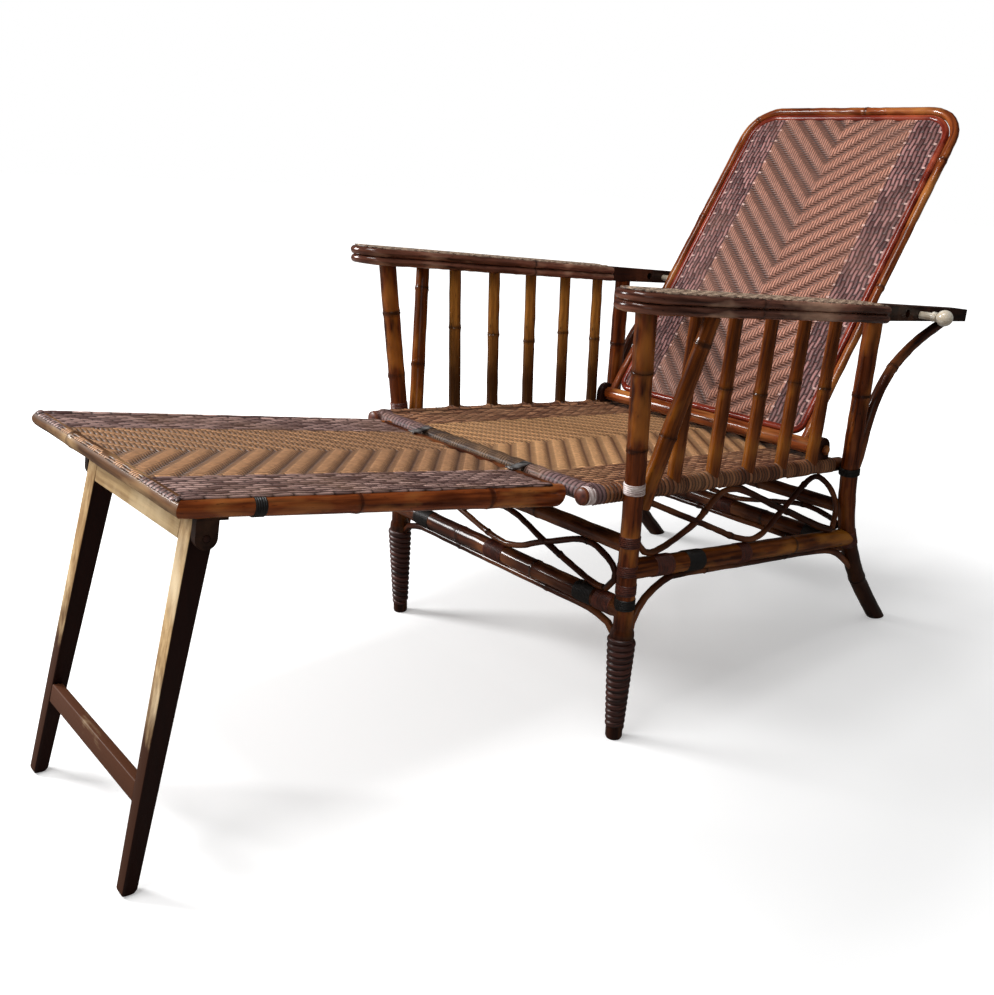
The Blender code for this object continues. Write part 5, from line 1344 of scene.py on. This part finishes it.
def folding_legs():
    """The two tapered legs, round over the pin and worn at the floor."""
    slope = math.tan(LEG_LEAN)
    foot = ((-0.0085, 0.006), (-0.0060, 0.001), (-0.003, 0.0), (0.003, 0.0), (0.0060, 0.001), (0.0085, 0.006))
    outline = arc(0.0128, 0.0, 90.0, 6) + [(-0.001, 0.0205), (-0.013, 0.0205), (-0.013, 0.0)]
    outline += [(x, x * slope - LEG_LENGTH + rise) for x, rise in foot] + [(0.013, -0.012)]
    thickness = 0.02
    for side, word in SIDES:
        def rule(x, y, z, side=side):
            inside, outside = leg_edges(side, max(0.0, -y))
            worn = clamp((-y - LEG_LENGTH + 0.0065) / 0.008)
            width = (outside - inside) * (1 - 0.45 * worn * worn)
            return on_legs.point((inside + outside) / 2 + z / thickness * width, x, y)

        shape = plank(outline, rule, thickness, bevel=0.0016)
        finished(f"leg_foot_{word}", shape, LEG_WOOD, "footrest_legs", [f"footrest_leg_{word}"])


def leg_bars():
    """The bar at the legs' head and the one between them."""
    bars = (("bar_top", "leg_top_bar", 0.0, 0.018, 0.022, -0.013),
            ("bar_low", "leg_stretcher", 0.298, 0.013, 0.024, -0.0092))
    for name, node, down, depth, height, front in bars:
        left = leg_edges(1, down)[0]
        right = leg_edges(-1, down)[0]
        middle = (left + right) / 2
        low, high = -down - height / 2, -down + height / 2
        outline = [(front, low), (front + depth, low), (front + depth, high), (front, high)]
        shape = plank(outline, lambda x, y, z: on_legs.point(middle + z, x, y),
                      thickness=left - right + 0.001, bevel=0.0014)
        finished(name, shape, BAR_WOOD, "footrest_legs", [node])


def leg_pins():
    """The wooden pins that the footrest's legs turn on."""
    shape = bmesh.new()
    for side in (1, -1):
        outside = leg_edges(side, 0.0)[1]
        route = [on_legs.point(outside + side * x, 0.0, 0.0) for x in (-0.004, 0.0098, 0.0104, 0.0106)]
        sweep(shape, route, [0.0040, 0.0040, 0.0034, 0.0015])
    finished("pins_top", shape, CHEEK_WOOD, "footrest_legs")


def set_floor():
    """A pale floor that fades to white away from the chair."""
    shape = bmesh.new()
    bmesh.ops.create_grid(shape, x_segments=1, y_segments=1, size=30.0)
    mesh = bpy.data.meshes.new("floor")
    shape.to_mesh(mesh)
    shape.free()
    floor = bpy.data.objects.new("floor", mesh)
    floor.location = (0.0, 0.0, -0.0005)
    bpy.context.scene.collection.objects.link(floor)
    paint = Finish("studio_floor", Roughness=0.9, Specular_IOR_Level=0.1, Emission_Strength=1.0)
    seen = paint.rays("Is Camera Ray")
    x, y, _ = paint.parts(paint.own())
    away = (x * x + y * y).math("SQRT").between(0.7, 2.2)
    lit = paint.mix(seen, (0.50, 0.48, 0.46, 1.0), grey(0.86))
    paint.wear("Base Color", paint.mix(paint.rays("Is Glossy Ray"), lit, (0.16, 0.15, 0.14, 1.0)))
    paint.wear("Emission Color", paint.mix(seen * (away * 0.72 + 0.28), grey(0.0), grey(1.0)))
    mesh.materials.append(paint.material)


def set_sky():
    """An even white sky: full strength to the camera, low as light, lower still in varnish."""
    world = bpy.data.worlds.new("studio")
    bpy.context.scene.world = world
    world.use_nodes = True
    sky = Graph(world.node_tree, "Background")
    sky.shader.inputs["Color"].default_value = grey(1.0)
    strength = sky.rays("Is Camera Ray") * (1.0 - SKY_LIGHT) + SKY_LIGHT
    sky.wear("Strength", strength + sky.rays("Is Glossy Ray") * (SKY_MIRRORED - SKY_LIGHT))


def set_lamps():
    """A soft main lamp, a weak fill and one from above."""
    for name, place, power, size in (("key", (-2.9, -2.4, 2.2), 190.0, 1.3),
                                     ("fill", (2.6, -2.2, 1.9), 6.0, 1.6),
                                     ("top", (0.1, -1.1, 3.1), 52.0, 1.2)):
        lamp = bpy.data.lights.new(name, "AREA")
        lamp.energy = power
        lamp.size = size
        holder = bpy.data.objects.new(name, lamp)
        holder.location = place
        aim = Vector((0.0, 0.0, 0.35)) - Vector(place)
        holder.rotation_euler = aim.to_track_quat("-Z", "Y").to_euler()
        bpy.context.scene.collection.objects.link(holder)


def set_camera():
    """The photograph's own view."""
    photo_width, photo_height = 994, 995
    centre_x, centre_y, focal = 517.8275, 503.7636, 988.1252  # in pixels of the photo
    eye = Vector((1.0913, -0.9791, 0.7741))
    yaw, pitch, roll = -0.8238, -0.3223, 0.0564
    sensor = 36.0
    ahead = Vector((math.sin(yaw) * math.cos(pitch), math.cos(yaw) * math.cos(pitch), math.sin(pitch)))
    right = ahead.cross(Vector((0.0, 0.0, 1.0))).normalized()
    up = right.cross(ahead)
    across = right * math.cos(roll) + up * math.sin(roll)
    upright = up * math.cos(roll) - right * math.sin(roll)
    lens = bpy.data.cameras.new("view")
    lens.sensor_fit = "HORIZONTAL"
    lens.sensor_width = sensor
    lens.lens = sensor * focal / photo_width
    lens.shift_x = (photo_width / 2 - centre_x) / photo_width
    lens.shift_y = (centre_y - photo_height / 2) / photo_width
    lens.clip_start = 0.05
    lens.clip_end = 100.0
    camera = bpy.data.objects.new("camera", lens)
    turn = Matrix((across, upright, -ahead)).transposed().to_4x4()
    camera.matrix_world = Matrix.Translation(eye - SHIFT) @ turn
    bpy.context.scene.collection.objects.link(camera)
    bpy.context.scene.camera = camera


front_legs()
rear_legs()
arms()
arm_mats()
uprights()
seat_rails()
seat_mat()
poles()
thin_rods()
lattices()
lashings()
cheeks()
back_hoops()
pivot_rail()
back_mat()
prop_rod()
footrest_frame()
footrest_mat()
folding_legs()
leg_bars()
leg_pins()
set_floor()
set_sky()
set_lamps()
set_camera()
